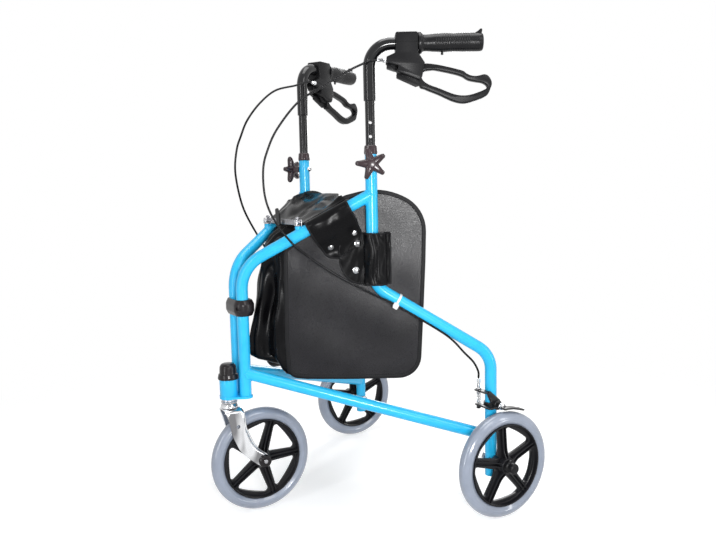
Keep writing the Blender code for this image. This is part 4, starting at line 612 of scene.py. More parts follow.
def show(name: str, mesh: Mesh, finish: Finish, body: Optional[str], replaced: Sequence[str] = (),
         sharp: float = 34.0) -> Item:
    """Show a finished mesh as one piece of the walker.

    Args:
        name: Name of the piece.
        mesh: Its mesh, already in place.
        finish: Its finish.
        body: The body that it rides on, or None to leave it on no body.
        replaced: Nodes that it stands for.
        sharp: Edges that turn by more degrees than this stay sharp.

    Returns:
        The piece.
    """
    item = linked(mesh, name)
    mesh.name = name
    mesh.materials.clear()
    mesh.materials.append(finish.material())
    mesh.shade_smooth()
    mesh.set_sharp_from_angle(angle=math.radians(sharp))
    if body:
        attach(item, body)
    if replaced:
        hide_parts(*replaced)
    LOG.info("%s: %d faces, on %s", name, len(mesh.polygons), body)
    return item


def dress_node(node: str, finish: Finish) -> None:
    """Give a node that stays its finish."""
    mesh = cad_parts[node].data
    mesh.materials.clear()
    mesh.materials.append(finish.material())
    LOG.info("%s keeps its shape", node)


# The walker's plan

@dataclass(frozen=True)
class Plan:
    """Sizes that several sub-assemblies share."""

    middle_y: float = 0.21765
    angle: float = math.radians(29.5)
    post_x: float = 0.019
    head_ahead: float = 0.0265
    tube: float = 0.0111
    wall: float = 0.0018
    gap: float = 0.0003
    upright: float = 0.244
    upright_top: float = 0.678
    branch_z: float = 0.606
    upper_slope: float = math.radians(28.0)
    lower_slope: float = math.radians(31.8)
    leg: float = 0.462
    leg_corner_z: float = 0.3025
    wheel_radius: float = 0.1
    wheel_out: float = 0.035
    slider: float = 0.009
    grip_z: float = 0.8735
    knob_z: float = 0.66

    @property
    def post_corner_z(self) -> float:
        """Height at which the post turns into the upper slope."""
        return self.branch_z - self.upright * math.tan(self.upper_slope)

    def lower_z(self, out: float) -> float:
        """Height of the lower slope's axis."""
        return self.leg_corner_z + (self.leg - out) * math.tan(self.lower_slope)

    def upper_z(self, out: float) -> float:
        """Height of the upper slope's axis."""
        return self.post_corner_z + out * math.tan(self.upper_slope)


PLAN = Plan()
SIN, COS = math.sin(PLAN.angle), math.cos(PLAN.angle)


def middle_place(points: Array) -> Array:
    """Points drawn from the middle of the two hinge posts."""
    return points - np.array([0.0, PLAN.middle_y, 0.0])


def head_place(points: Array) -> Array:
    """Points drawn from the steering axis."""
    return middle_place(points - np.array([0.0, PLAN.head_ahead, 0.0]))


@dataclass(frozen=True)
class Side:
    """One of the two mirrored sides."""

    sign: int

    @property
    def name(self) -> str:
        """Prefix of the side's names."""
        return "left_" if self.sign > 0 else "right_"

    def place(self, points: Array) -> Array:
        """Points drawn in the frame's plane: x grows with out sin(angle) + off cos(angle)."""
        off, out, z = np.moveaxis(points, -1, 0)
        x = self.sign * (PLAN.post_x + out * SIN + off * COS)
        return np.stack([x, out * COS - off * SIN - PLAN.middle_y, z], -1)

    def travel_place(self, points: Array, out: float, up: float = 0.0) -> Array:
        """Points drawn square to the way of travel, from a distance along the frame and a height."""
        x, y, z = np.moveaxis(points, -1, 0)
        x = self.sign * (PLAN.post_x + out * SIN + x)
        return np.stack([x, out * COS + y - PLAN.middle_y, z + up], -1)

    def leg_place(self, points: Array) -> Array:
        """Points drawn from the leg's axis."""
        return self.travel_place(points, PLAN.leg)

    def wheel_place(self, points: Array) -> Array:
        """Points drawn from the rear wheel's middle."""
        return self.leg_place(points + np.array([PLAN.wheel_out, 0.0, PLAN.wheel_radius]))

    def brace_place(self, points: Array) -> Array:
        """Points drawn from the brace's clevis."""
        return self.travel_place(points, Brace.out, Brace.z)

    def show(self, name: str, mesh: Mesh, finish: Finish, body: str, slot: str, node: str = "",
             sharp: float = 34.0) -> Item:
        """Show one piece of this side; the names of piece, body and node come without its prefix.

        Args:
            name: Name of the piece.
            mesh: Its mesh, already in place.
            finish: Its finish.
            body: The body that it rides on.
            node: Node that it stands for, if any.
            sharp: Edges that turn by more degrees than this stay sharp.

        Returns:
            The piece.
        """
        replaced = [self.name + node] if node else []
        return show(self.name + name, mesh, finish, self.name + body, replaced, sharp)


OUTWARD = (1.0, 0.0, 0.0)


def flat_path(points: Sequence, off: float = 0.0) -> Array:
    """Path in the frame's plane from (out, z) pairs."""
    points = np.asarray(points, float)
    return np.column_stack([np.full(len(points), off), points])


# Steel frame

@dataclass
class SteelFrame:
    """Welded tubes of one side."""

    side: Side
    post_bend: float = 0.07
    leg_bend: float = 0.05
    rail_front_z: float = 0.277
    rail_rear_z: float = 0.144
    leg_end_z: float = 0.069
    post_foot_z: float = 0.2343
    bead: float = 0.0014

    def tube_path(self, corners: Sequence, radius: float, count: int) -> Array:
        """Bent tube's axis, with points every few millimetres."""
        return flat_path(evenly(fillet(corners, radius, 14, closed=False), count))

    def weld(self, root: Sequence, direction: Sequence, main: Sequence, share: float = 0.995) -> Array:
        """Weld bead where a branch tube meets a main tube.

        For the angle t round the branch the seam is root + direction * s + r (u cos t + v sin t),
        with s such that the point lies on the main tube.

        Args:
            root: Where the two axes meet, as out and z.
            direction: Way out along the branch, as out and z.
            main: Way along the main tube, as out and z.
            share: Branch radius as a share of the main one.

        Returns:
            Grid of the bead, a loop of loops.
        """
        along = unit(np.array([0.0, *direction]))
        trunk = unit(np.array([0.0, *main]))
        v = np.array([1.0, 0.0, 0.0])
        u = np.cross(along, v)
        across = np.cross(trunk, v)
        t = np.linspace(0, 2 * np.pi, 72, endpoint=False)
        r = PLAN.tube * share
        reach = np.sqrt(np.maximum(PLAN.tube ** 2 - (r * np.sin(t)) ** 2, 0.0))
        lean = along @ across
        s = (np.sign(lean) * reach - r * np.cos(t) * (u @ across)) / lean
        spokes = np.cos(t)[:, None] * u + np.sin(t)[:, None] * v
        seam = np.array([0.0, *root]) + s[:, None] * along + r * spokes
        size = self.bead * (1 + 0.14 * np.sin(17 * t) + 0.1 * np.sin(29 * t + 1))
        section = ring(1.0, 10)[None] * size[:, None, None] * np.array([1.0, 1.5])
        return sweep(seam, section, spokes, closed=True)

    def build(self) -> None:
        """Tubes with their welds, and the boss of the brace."""
        p = PLAN
        post = self.tube_path([(0, self.post_foot_z), (0, p.post_corner_z), (p.upright, p.branch_z)],
                              self.post_bend, 90)
        corner = p.lower_z(p.upright)
        leg = self.tube_path([(p.upright, p.upright_top), (p.upright, corner), (p.leg, p.leg_corner_z),
                              (p.leg, self.leg_end_z)], self.leg_bend, 150)
        rail = flat_path([(0, self.rail_front_z), (p.leg, self.rail_rear_z)])
        skin = Skin(self.side.place)
        section = ring(p.tube, 36)
        skin.grid(sweep(post, section, OUTWARD, ends=(End.HOLLOW, End.FLAT), wall=p.wall, depth=0.06))
        skin.grid(sweep(leg, section, OUTWARD, ends=(End.HOLLOW, End.HOLLOW), wall=p.wall, depth=0.02))
        skin.grid(sweep(evenly(rail, 60), section * 0.985, OUTWARD))
        up = (math.cos(p.upper_slope), math.sin(p.upper_slope))
        fall = unit(np.array([p.leg, self.rail_rear_z - self.rail_front_z]))
        skin.grid(self.weld((p.upright, p.branch_z), (-up[0], -up[1]), (0, 1)), loop_rows=True)
        skin.grid(self.weld((0, self.rail_front_z), fall, (0, 1), 0.985), loop_rows=True)
        skin.grid(self.weld((p.leg, self.rail_rear_z), -fall, (0, 1), 0.985), loop_rows=True)
        boss_foot = p.upper_z(Brace.out)
        boss_top = Brace.z - Brace.half_height - p.gap - Brace.base - p.gap
        boss = fillet(bar(0.006, boss_foot, boss_top), [0, 0, 0.0008, 0], 3, False)
        skin.turn(boss, (0, Brace.out, 0), around=28)
        self.side.show("steel_frame", skin.mesh(), FRAME_BLUE, "side", "frame_blue", "frame")


@dataclass
class HeadSet:
    """Steering tube, hinge plate, cap, and the clamp round both posts."""

    radius: float = 0.017
    bore: float = 0.013
    top: float = 0.273
    plate_foot: float = 0.23
    plate_top: float = 0.234
    lug: float = 0.0135
    cap_radius: float = 0.019
    cap_top: float = 0.2964
    sleeve_foot: float = 0.3856
    sleeve_height: float = 0.0308
    sleeve_wall: float = 0.0055
    seen_foot: float = 0.2283
    rear_stretch: float = 1.34
    slot_turn: float = math.radians(49.5)

    def tube(self) -> None:
        """Steering tube with the hinge plate."""
        skin = Skin(head_place)
        body = fillet([(self.radius, self.seen_foot), (self.radius, self.top), (self.bore, self.top),
                       (self.bore, self.seen_foot)], 0.0006, 2)
        skin.turn(body, around=48, loop=True)
        t = np.linspace(math.radians(-25), math.radians(115), 14)
        lug = self.lug * np.stack([np.cos(t), np.sin(t)], -1) + (PLAN.post_x, PLAN.head_ahead)
        t = np.linspace(math.radians(205), math.radians(335), 14)
        front = (self.radius + 0.0003) * np.stack([np.cos(t), np.sin(t)], -1)
        outline = np.vstack([lug, (lug * (-1, 1))[::-1], front])
        skin.solid(prism(outline, self.plate_foot, self.plate_top, [ring(self.bore + 0.001, 32)[::-1]],
                         0.0007))
        for height in (self.plate_foot, self.plate_top):
            bead = sweep(np.column_stack([ring(self.radius + 0.0001, 72), np.full(72, height)]),
                         ring(0.0008, 8), (0, 0, 1), closed=True)
            skin.grid(bead, loop_rows=True)
        show("head_tube_steel", skin.mesh(), FRAME_BLUE, "head", ["head_tube"])

    def cap(self) -> None:
        """Domed cap with a rolled rim."""
        lip = self.top - 0.007
        outer = self.cap_radius
        profile = fillet([(self.radius + 0.0003, lip), (outer + 0.0006, lip), (outer + 0.0004, lip + 0.004),
                          (outer - 0.001, lip + 0.0098), (outer - 0.0028, lip + 0.0106),
                          (outer - 0.0034, self.cap_top - 0.0075), (outer * 0.66, self.cap_top - 0.001),
                          (0.0, self.cap_top)], [0.0, 0.001, 0.002, 0.001, 0.0006, 0.006, 0.006, 0.0], 5,
                         closed=False)
        inside = [(0.0, self.cap_top - 0.006), (outer * 0.58, self.cap_top - 0.009),
                  (self.radius - 0.0022, self.top + 0.0005), (self.radius + 0.0003, self.top + 0.0003)]
        grid = turned(np.vstack([profile, inside]), around=56)
        show("head_cap_dome", Skin(head_place).grid(grid, loop_rows=True).mesh(), GLOSS_PLASTIC, "head",
             ["head_cap"])

    def sleeve(self) -> None:
        """Barrel-shaped clamp round both posts, with a screw slot on each front corner.

        Its wall's section is carried along a loop of two half circles, the rear of which is drawn out.
        """
        reach = PLAN.tube + PLAN.gap + self.sleeve_wall
        half, wall = self.sleeve_height / 2, self.sleeve_wall / 2
        middle = self.sleeve_foot + half
        t = np.linspace(-math.pi / 2, math.pi / 2, 28)
        end = (reach - wall) * np.stack([np.cos(t), np.sin(t)], -1) + (PLAN.post_x, 0.0)
        end[:, 1] *= np.where(end[:, 1] > 0, self.rear_stretch, 1.0)
        loop = np.vstack([end, (end * (-1, 1))[::-1]])
        loop = evenly(np.vstack([loop, loop[:1]]), 120, closed=True)
        path = np.column_stack([loop, np.full(120, middle)])
        along = tangents(path, closed=True)
        aside = np.stack([along[:, 1], -along[:, 0], np.zeros(120)], -1)
        section = fillet([(-wall, -half), (-wall + 0.002, -half), (wall + 0.0006, -half * 0.42),
                          (wall + 0.0006, half * 0.42), (-wall + 0.002, half), (-wall, half)],
                         [0.0006, 0.003, 0.008, 0.008, 0.003, 0.0006], 6)
        body = Skin(middle_place).grid(sweep(path, section, aside, closed=True), loop_rows=True).mesh()
        slots = []
        for side in (1, -1):
            facing = np.array([side * math.cos(self.slot_turn), -math.sin(self.slot_turn), 0.0])
            basis = np.array([np.cross((0.0, 0.0, 1.0), facing), (0.0, 0.0, 1.0), facing])
            centre = np.array([side * PLAN.post_x, 0.0, middle])
            tool = Skin(lambda points, basis=basis, centre=centre: middle_place(points @ basis + centre))
            slots.append(tool.solid(prism(slab(0.01, 0.0056, 0.002), reach - 0.004, reach + 0.004,
                                          bevel=0.0)).mesh())
        show("post_clamp", carved(body, slots), GLOSS_PLASTIC, "head", ["post_sleeve"])

    def build(self) -> None:
        """Everything that rides on the head."""
        self.tube()
        self.cap()
        self.sleeve()
        for node in ("left_hinge_pin", "right_hinge_pin"):
            dress_node(node, ZINC)


# Wheels

@dataclass
class Wheel:
    """Grey tyre on a black five-spoke centre, with its hub caps."""

    name: str
    body: str
    place: Place
    half_width: float = 0.0135
    tyre_depth: float = 0.022
    rim_half: float = 0.012
    web_half: float = 0.0036
    rib_half: float = 0.0095
    rib_width: float = 0.004
    thin_rib: float = 0.0019
    rib_off: float = 0.0034
    phase: float = 0.0
    spoke: float = 0.0165
    spokes: int = 5
    hub: float = 0.017
    hub_half: float = 0.0165
    caps: tuple = (1,)

    def across(self, profile: Sequence, around: int = 96) -> Array:
        """Profile of (radius, x) turned about the wheel's axle."""
        return turned(profile, (0, 0, 0), (1, 0, 0), around)

    def tyre(self) -> None:
        """Tyre: a rounded tread, bulging walls and a bead that beds in the rim."""
        inner = PLAN.wheel_radius - self.tyre_depth
        knots = [(inner, self.half_width * 0.66), (inner + 0.0035, self.half_width * 0.83),
                 (inner + 0.0075, self.half_width * 0.99), (inner + 0.0125, self.half_width * 0.96),
                 (inner + 0.018, self.half_width * 0.7), (PLAN.wheel_radius - 0.0009, self.half_width * 0.38),
                 (PLAN.wheel_radius, 0.0)]
        half = smooth(knots, 34)
        half[:, 1] -= 0.0007 * np.exp(-((half[:, 0] - PLAN.wheel_radius + 0.0112) / 0.0007) ** 2)
        profile = np.vstack([half, (half * (1, -1))[-2::-1]])
        skin = Skin(self.place).grid(self.across(profile, 120), loop_rows=True)
        show(self.name + "_soft_tyre", skin.mesh(), TYRE_GREY, self.body, [self.name + "_tyre"],
             60.0)

    def rim(self) -> None:
        """Wheel centre: a dished ring, a web with five openings, and a rib on each spoke."""
        outer = PLAN.wheel_radius - self.tyre_depth - PLAN.gap
        inner = outer - 0.0056
        skin = Skin(self.place)
        ring_corners = [(outer, -self.rim_half), (outer, self.rim_half), (outer - 0.0026, self.rim_half),
                        (outer - 0.004, self.web_half + 0.0012), (inner, self.web_half),
                        (inner, -self.web_half), (outer - 0.004, -self.web_half - 0.0012),
                        (outer - 0.0026, -self.rim_half)]
        radii = [0.0008, 0.0008, 0.001, 0.0008, 0.0004, 0.0004, 0.0008, 0.001]
        skin.grid(self.across(fillet(ring_corners, radii, 3)), loop_rows=True)
        pitch = 2 * math.pi / self.spokes
        tip = self.spoke / 2 / math.sin(pitch / 2) + self.rib_width
        chord = inner * 0.895
        spread = (chord - tip + self.rib_width) * math.tan(pitch / 2)
        opening = fillet([(tip, 0), (chord * 0.985, spread), (chord + 0.002, 0.0), (chord * 0.985, -spread)],
                         [0.004, 0.0055, 0.2, 0.0055], 8)
        holes = []
        for index in range(self.spokes):
            angle = pitch * (index + 0.5) + self.phase
            turn = np.array([[math.cos(angle), math.sin(angle)], [-math.sin(angle), math.cos(angle)]])
            holes.append((opening @ turn)[::-1])
        skin.solid(prism(ring(outer - 0.002, 96), -self.web_half, self.web_half, holes, 0.0009), (2, 0, 1))
        reach = np.linspace(self.hub * 0.6, inner + 0.0035, 12)
        taper = np.clip(1 - (reach - self.hub) / 0.016, 0, 1) ** 2
        half = self.rib_half + (self.hub_half - 0.002 - self.rib_half) * taper
        section = slab(2.0, self.thin_rib, 0.0005)[None] * np.ones((12, 1, 1))
        section[..., 0] *= half[:, None]
        for index in range(2 * self.spokes):
            angle = pitch * (index // 2) + self.phase
            radial = np.array([0.0, math.cos(angle), math.sin(angle)])
            aside = np.array([0.0, -math.sin(angle), math.cos(angle)]) * self.rib_off * (1 - 2 * (index % 2))
            skin.grid(sweep(reach[:, None] * radial + aside, section, OUTWARD))
        hub = fillet([(0.0, -self.hub_half), (self.hub * 0.88, -self.hub_half),
                      (self.hub, -self.hub_half * 0.55), (self.hub, self.hub_half * 0.55),
                      (self.hub * 0.88, self.hub_half), (0.0, self.hub_half)],
                     [0, 0.002, 0.003, 0.003, 0.002, 0], 4, closed=False)
        skin.grid(self.across(hub, 48))
        show(self.name + "_spoked_rim", skin.mesh(), RIM_PLASTIC, self.body,
             [self.name + "_rim"], 40.0)

    def hub_caps(self) -> None:
        """Domed dust caps over the axle's ends."""
        for sign in self.caps:
            start = self.hub_half - 0.0005
            profile = fillet([(0.0, start), (0.0128, start), (0.0124, start + 0.006), (0.0102, start + 0.008),
                              (0.0096, start + 0.0165), (0.007, start + 0.0186), (0.0, start + 0.019)],
                             [0, 0.0004, 0.002, 0.0012, 0.0026, 0.0022, 0], 5, closed=False) * (1, sign)
            mesh = Skin(self.place).grid(self.across(profile, 40)).mesh()
            show(f"{self.name}_hub_cap_{'outer' if sign > 0 else 'inner'}", mesh, BLACK_PLASTIC, self.body)

    def build(self) -> None:
        """Tyre, centre and caps."""
        self.tyre()
        self.rim()
        self.hub_caps()


@dataclass
class Caster:
    """Pressed fork with its steering bolt, and the front axle."""

    trail: float = 0.0597
    gauge: float = 0.003
    inner: float = 0.0175
    top: float = 0.211
    shoulder: float = 0.0112
    axle_cap: float = 0.0126

    def fork(self) -> None:
        """Fork as one bent plate.

        Across, the plate follows a U path s -> (x, z); along, each row runs from the rear edge
        y = rear(z) to the front edge y = front(z), with its long edges turned in a little.
        """
        foot = PLAN.wheel_radius
        half = self.inner + self.gauge / 2
        crown = self.top - self.gauge / 2
        path = fillet([(half, foot - 0.0115), (half, crown), (-half, crown), (-half, foot - 0.0115)],
                      self.shoulder, 10, False)
        path = evenly(path, 150)
        z = path[:, 1]
        heights = [0.0885, 0.089, 0.0905, 0.0935, 0.0965, 0.1, 0.106, 0.111, 0.119, 0.1254, 0.1385, 0.1679,
                   0.1863, 0.2, 0.211]
        rear_y = [0.0597, 0.0625, 0.0655, 0.0683, 0.07, 0.0708, 0.0695, 0.0655, 0.0555, 0.0482, 0.0388,
                  0.0262, 0.0228, 0.0215, 0.019]
        front_heights = [0.0885, 0.089, 0.09, 0.0925, 0.096, 0.101, 0.1089, 0.12, 0.1305, 0.1573, 0.1827,
                         0.1919, 0.202, 0.211]
        front_y = [0.0597, 0.057, 0.054, 0.05, 0.045, 0.0388, 0.03, 0.0192, 0.0109, -0.0008, -0.0068, -0.0092,
                   -0.0128, -0.0155]
        rear = softened(np.interp(z, heights, rear_y), 9, 5)
        front = softened(np.interp(z, front_heights, front_y), 9, 5)
        v = np.linspace(0, 1, 22)[None]
        y = rear[:, None] * (1 - v) + front[:, None] * v
        curl = 0.0016 * (2 * v - 1) ** 8
        inward = np.gradient(path, axis=0)
        normal = unit(np.stack([-inward[:, 1], inward[:, 0]], -1))
        swell = 0.0026 * np.exp(-((z - 0.145) / 0.05) ** 2)[:, None] * np.sin(np.pi * v) ** 1.5
        swell = swell + 0.002 * np.exp(-((z - 0.188) / 0.014) ** 2)[:, None]
        x = path[:, :1] + normal[:, :1] * (curl - swell)
        up = path[:, 1:] + normal[:, 1:] * (curl - swell)
        grid = np.stack([x, y, up], -1)
        item = linked(Skin(head_place).grid(grid, loop_columns=False).mesh())
        wall = item.modifiers.new("wall", "SOLIDIFY")
        wall.thickness = self.gauge
        wall.offset = 0
        edge = item.modifiers.new("edge", "BEVEL")
        edge.width = 0.0009
        edge.segments = 2
        edge.angle_limit = math.radians(50)
        mesh = closed_up(meshed(item))
        hole = Skin(head_place).turn(bar(0.0036, -0.03, 0.03), (0, 0.008, 0.177), (1, 0, 0), 24).mesh()
        show("fork_plate", carved(mesh, [hole]), REFLECTION_PAINTED_CHROME, "caster", ["caster_fork"], 40.0)

    def bolt(self) -> None:
        """Steering bolt with washer, lock nut and bearing race."""
        skin = Skin(head_place)
        over = self.top + PLAN.gap
        under = self.top - self.gauge
        skin.turn([(0, under - 0.006), (0.0085, under - 0.006), (0.0095, under - 0.004), (0.0095, under),
                   (0, under)], around=32)
        skin.turn(bar(0.014, over, over + 0.0018, 0.0005), around=40)
        skin.solid(prism(ring(0.0112, 6), over + 0.0018, 0.2203, bevel=0.0006))
        skin.turn(fillet([(0, 0.2203), (0.0152, 0.2203), (0.0152, 0.2236), (0.0138, 0.2244), (0.0138, 0.2279),
                          (0, 0.2279)], [0, 0.001, 0.0006, 0.0004, 0.0003, 0], 3, False), around=40)
        show("steering_bolt", skin.mesh(), ZINC, "caster", ["caster_stem"])

    def hood(self) -> None:
        """Pressed hood on the crown: a revolve drawn out across, with a flat seat under the head."""
        across = self.inner + self.gauge - 0.0016
        base, peak = self.top + PLAN.gap, 0.22
        profile = fillet([(0.0118, base), (across, base), (across - 0.0012, base + 0.0036), (0.0148, peak),
                          (0.0118, peak)], [0.0003, 0.0016, 0.003, 0.0012, 0.0003], 4)
        skin = Skin(lambda points: head_place(points * np.array([1.0, 0.9, 1.0])))
        skin.turn(profile, around=56, loop=True)
        show("crown_hood", skin.mesh(), REFLECTION_PAINTED_CHROME, "caster")

    def axle(self) -> None:
        """Front axle: a bolt head on one side and a nut on the other."""
        skin = Skin(lambda points: head_place(points + np.array([0.0, self.trail, PLAN.wheel_radius])))
        out = self.inner + self.gauge + PLAN.gap
        skin.turn(bar(0.005, -out, out), axis=(1, 0, 0), around=28)
        for sign in (1, -1):
            end = out + 0.0062
            tip = fillet([(0, out), (0.004, out), (0.004, end + 0.0006), (0, end + 0.0012)], [0, 0, 0.001, 0],
                         3, False)
            skin.turn(tip * (1, sign), axis=(1, 0, 0), around=24)
        show("front_axle_bolt", skin.mesh(), ZINC, "caster", ["front_axle"])
        caps = Skin(skin.place)
        for sign in (1, -1):
            cap = fillet([(0.0044, out), (self.axle_cap, out), (self.axle_cap, out + 0.0034),
                          (self.axle_cap - 0.0026, end), (0.0044, end)],
                         [0.0002, 0.0004, 0.0014, 0.0014, 0.0003], 4)
            caps.turn(cap * (1, sign), axis=(1, 0, 0), around=40, loop=True)
        show("front_axle_caps", caps.mesh(), GLOSS_PLASTIC, "caster")

    def build(self) -> None:
        """Fork, bolts and the front wheel."""
        self.fork()
        self.bolt()
        self.hood()
        self.axle()
        hub = np.array([0.0, self.trail, PLAN.wheel_radius])
        Wheel("front", "front_wheel", lambda points: head_place(points + hub), caps=()).build()


@dataclass
class RearAxle:
    """Axle bolt through one leg."""

    side: Side

    def build(self) -> None:
        """Bolt head inside the leg, spacer, and the stub that carries the wheel."""
        skin = Skin(lambda points: self.side.leg_place(points + np.array([0.0, 0.0, PLAN.wheel_radius])))
        tube = PLAN.tube + PLAN.gap
        hub = PLAN.wheel_out - 0.0165 - PLAN.gap
        out = PLAN.wheel_out + 0.0165
        skin.turn(bar(0.005, -tube, out + 0.005), axis=(1, 0, 0), around=28)
        skin.turn(bar(0.0085, tube, hub, 0.0003), axis=(1, 0, 0), around=32)
        skin.solid(prism(ring(0.0092, 6), -tube - 0.006, -tube, bevel=0.0006), (2, 0, 1))
        self.side.show("axle_bolt", skin.mesh(), ZINC, "side", "zinc", "rear_axle")


# Handles

@dataclass
class Handle:
    """Sliding handle: drilled slider, bent tube, grip, collar and clamping knob."""

    side: Side
    slider_foot: float = 0.59
    tube_foot: float = 0.7734
    bend: float = 0.04
    grip_start: float = 0.3325
    grip_end: float = 0.4497
    grip_radius: float = 0.0165
    flange: float = 0.0193
    hole: float = 0.0032
    pitch: float = 0.025
    standoff: float = 0.015
    knob_thick: float = 0.0128
    arm: float = 0.029

    def tube(self) -> None:
        """Bent tube over the drilled slider, with a rolled step where they join."""
        p = PLAN
        bend = evenly(fillet([(p.upright, self.tube_foot), (p.upright, p.grip_z),
                              (self.grip_end - 0.004, p.grip_z)], self.bend, 16, closed=False), 110)
        slider = np.column_stack([np.full(50, p.upright),
                                  np.linspace(self.slider_foot, self.tube_foot - 0.0004, 50)])
        path = np.vstack([slider, [(p.upright, self.tube_foot - 0.0002)], bend[:1],
                          [(p.upright, self.tube_foot + 0.0008)], bend[1:]])
        radius = np.concatenate([np.full(50, p.slider), [p.slider + 0.0004, p.tube - 0.0006, p.tube],
                                 np.full(109, p.tube)])
        skin = Skin(self.side.place)
        skin.grid(sweep(flat_path(path), ring(1.0, 36)[None] * radius[:, None, None], OUTWARD,
                        ends=(End.HOLLOW, End.FLAT), wall=0.0015, depth=0.17))
        drills = Skin(self.side.place)
        for number in range(-2, 4):
            drills.turn(bar(self.hole, -0.012, 0.012), (0, p.upright, p.knob_z + number * self.pitch),
                        (1, 0, 0), 24)
        self.side.show("bent_tube", carved(skin.mesh(), [drills.mesh()]), BLACK_STEEL, "handle",
                       "black_steel", "handle_tube")

    def grip(self) -> None:
        """Rubber grip with a flange, a waist, fine rings, a heel and a hanging peg.

        The radius follows a smooth curve of the distance; the rings add a fine sine to it.
        """
        length = self.grip_end - self.grip_start
        flange = fillet([(PLAN.tube + 0.0003, 0.0), (self.flange, 0.0), (self.flange, 0.0048),
                         (0.015, 0.0085)], [0, 0.0012, 0.0016, 0], 4, False)
        along = np.linspace(0.0095, length - 0.012, 120)
        radius = np.interp(along, [0.0095, 0.016, 0.028, 0.045, 0.062, 0.08, length - 0.012],
                           [0.0147, 0.0144, 0.0156, 0.0165, 0.0158, 0.0163, 0.0164])
        radius = softened(radius, 17, 8)
        ridged = (along > 0.03) & (along < 0.092)
        radius = radius + np.where(ridged, 0.00022 * np.sin(2 * np.pi * along / 0.0042), 0.0)
        tip = fillet([(0.0164, length - 0.01), (0.0158, length - 0.0015), (0.0, length)], [0, 0.004, 0], 6,
                     False)
        profile = np.vstack([flange, np.column_stack([radius, along]), tip])
        skin = Skin(self.side.place)
        skin.turn(profile, (0, self.grip_start, PLAN.grip_z), (0, 1, 0), 48)
        top = PLAN.grip_z + self.grip_radius
        end = self.grip_end
        heel = smooth([(end - 0.019, top - 0.004), (end - 0.006, top - 0.0045), (end - 0.0028, top + 0.0015),
                       (end - 0.003, top + 0.0056), (end - 0.006, top + 0.006), (end - 0.0095, top + 0.003),
                       (end - 0.015, top - 0.0005)], 40, True)
        skin.solid(prism(heel, -0.0055, 0.0055, bevel=0.0014), (2, 0, 1))
        peg = self.grip_start + 0.043
        low = PLAN.grip_z - self.grip_radius
        skin.turn(fillet([(0, low - 0.005), (0.0024, low - 0.005), (0.0022, low + 0.002), (0, low + 0.002)],
                         [0, 0.0008, 0, 0], 3, False), (0, peg, 0), around=16)
        self.side.show("rubber_grip", skin.mesh(), GRIP_RUBBER, "handle", "grip_rubber", "grip", 50.0)

    def collar(self) -> None:
        """Smoky collar on top of the upright, with a slit at its side."""
        foot = PLAN.upright_top + PLAN.gap
        outer = PLAN.slider + PLAN.gap + 0.0028
        top = foot + 0.016
        profile = fillet([(PLAN.slider + PLAN.gap, foot), (outer, foot), (outer + 0.0004, foot + 0.004),
                          (outer - 0.0006, top - 0.0015), (PLAN.slider + 0.0012, top),
                          (PLAN.slider + PLAN.gap, top)], [0, 0.0006, 0.002, 0.0012, 0.0004, 0], 3)
        mesh = Skin(self.side.place).turn(profile, (0, PLAN.upright, 0), around=40, loop=True).mesh()
        slit = prism(slab(0.0016, 0.02, 0.0004), foot + 0.004, top + 0.002, bevel=0.0)
        slit = Skin(self.side.place).solid(slit, shift=(0.01, PLAN.upright - 0.004, 0)).mesh()
        self.side.show("collar_ring", carved(mesh, [slit]), SMOKY_PLASTIC, "side", "black_plastic",
                       "upright_collar")

    def star(self) -> Array:
        """Outline of the knob: for each angle, the reach of an arm's round tip or of its tapering flank."""
        count = 200
        angle = np.linspace(0, 2 * np.pi, count, endpoint=False)
        arm = 2 * np.pi / 5
        local = np.abs((angle - math.radians(105) + arm / 2) % arm - arm / 2)
        tip = self.arm * 0.155
        centre = self.arm - tip
        notch = np.array([math.cos(arm / 2), math.sin(arm / 2)]) * self.arm * 0.45
        flank = np.array([centre, tip]) - notch
        ray = np.stack([np.cos(local), np.sin(local)], -1)
        on_flank = (notch[0] * flank[1] - notch[1] * flank[0]) / (ray[:, 0] * flank[1] - ray[:, 1] * flank[0])
        on_tip = centre * ray[:, 0] + np.sqrt(np.maximum(tip ** 2 - (centre * ray[:, 1]) ** 2, 0))
        reach = np.where(local < math.atan2(tip, centre), on_tip, on_flank)
        return reach[:, None] * np.stack([np.cos(angle), np.sin(angle)], -1)

    def knob(self) -> None:
        """Five-armed knob: its section from middle to rim is a flattened superellipse."""
        low = PLAN.tube + self.standoff
        outline = self.star()
        t = np.linspace(-np.pi / 2, np.pi / 2, 21)[:, None, None]
        share = np.abs(np.cos(t)) ** 0.45
        height = np.sign(np.sin(t)) * np.abs(np.sin(t)) ** 0.8 * self.knob_thick / 2
        dome = 0.0012 * np.maximum(0.0, 1 - (share / 0.8) ** 2) * np.sign(height)
        height = np.broadcast_to(height + dome, (21, len(outline), 1)) + low + self.knob_thick / 2
        grid = np.concatenate([height, share * outline[None]], -1)
        centre = np.array([0.0, PLAN.upright, PLAN.knob_z])
        skin = Skin(lambda points: self.side.place(points + centre))
        skin.grid(grid)
        neck = fillet([(0, PLAN.tube + 0.0006), (0.0062, PLAN.tube + 0.0006), (0.007, low),
                       (0.0088, low + 0.002)], [0, 0.0006, 0.003, 0], 3, False)
        skin.turn(np.vstack([neck, [(0, low + 0.002)]]), axis=(1, 0, 0), around=32)
        top = low + self.knob_thick
        boss = fillet([(0, top - 0.002), (0.008, top - 0.002), (0.0074, top + 0.0024), (0, top + 0.003)],
                      [0, 0, 0.0014, 0], 4, False)
        skin.turn(boss, axis=(1, 0, 0), around=32)
        self.side.show("star_knob", skin.mesh(), SMOKY_PLASTIC, "knob", "black_plastic", "knob", 50.0)
        dress_node(self.side.name + "knob_stud", ZINC)

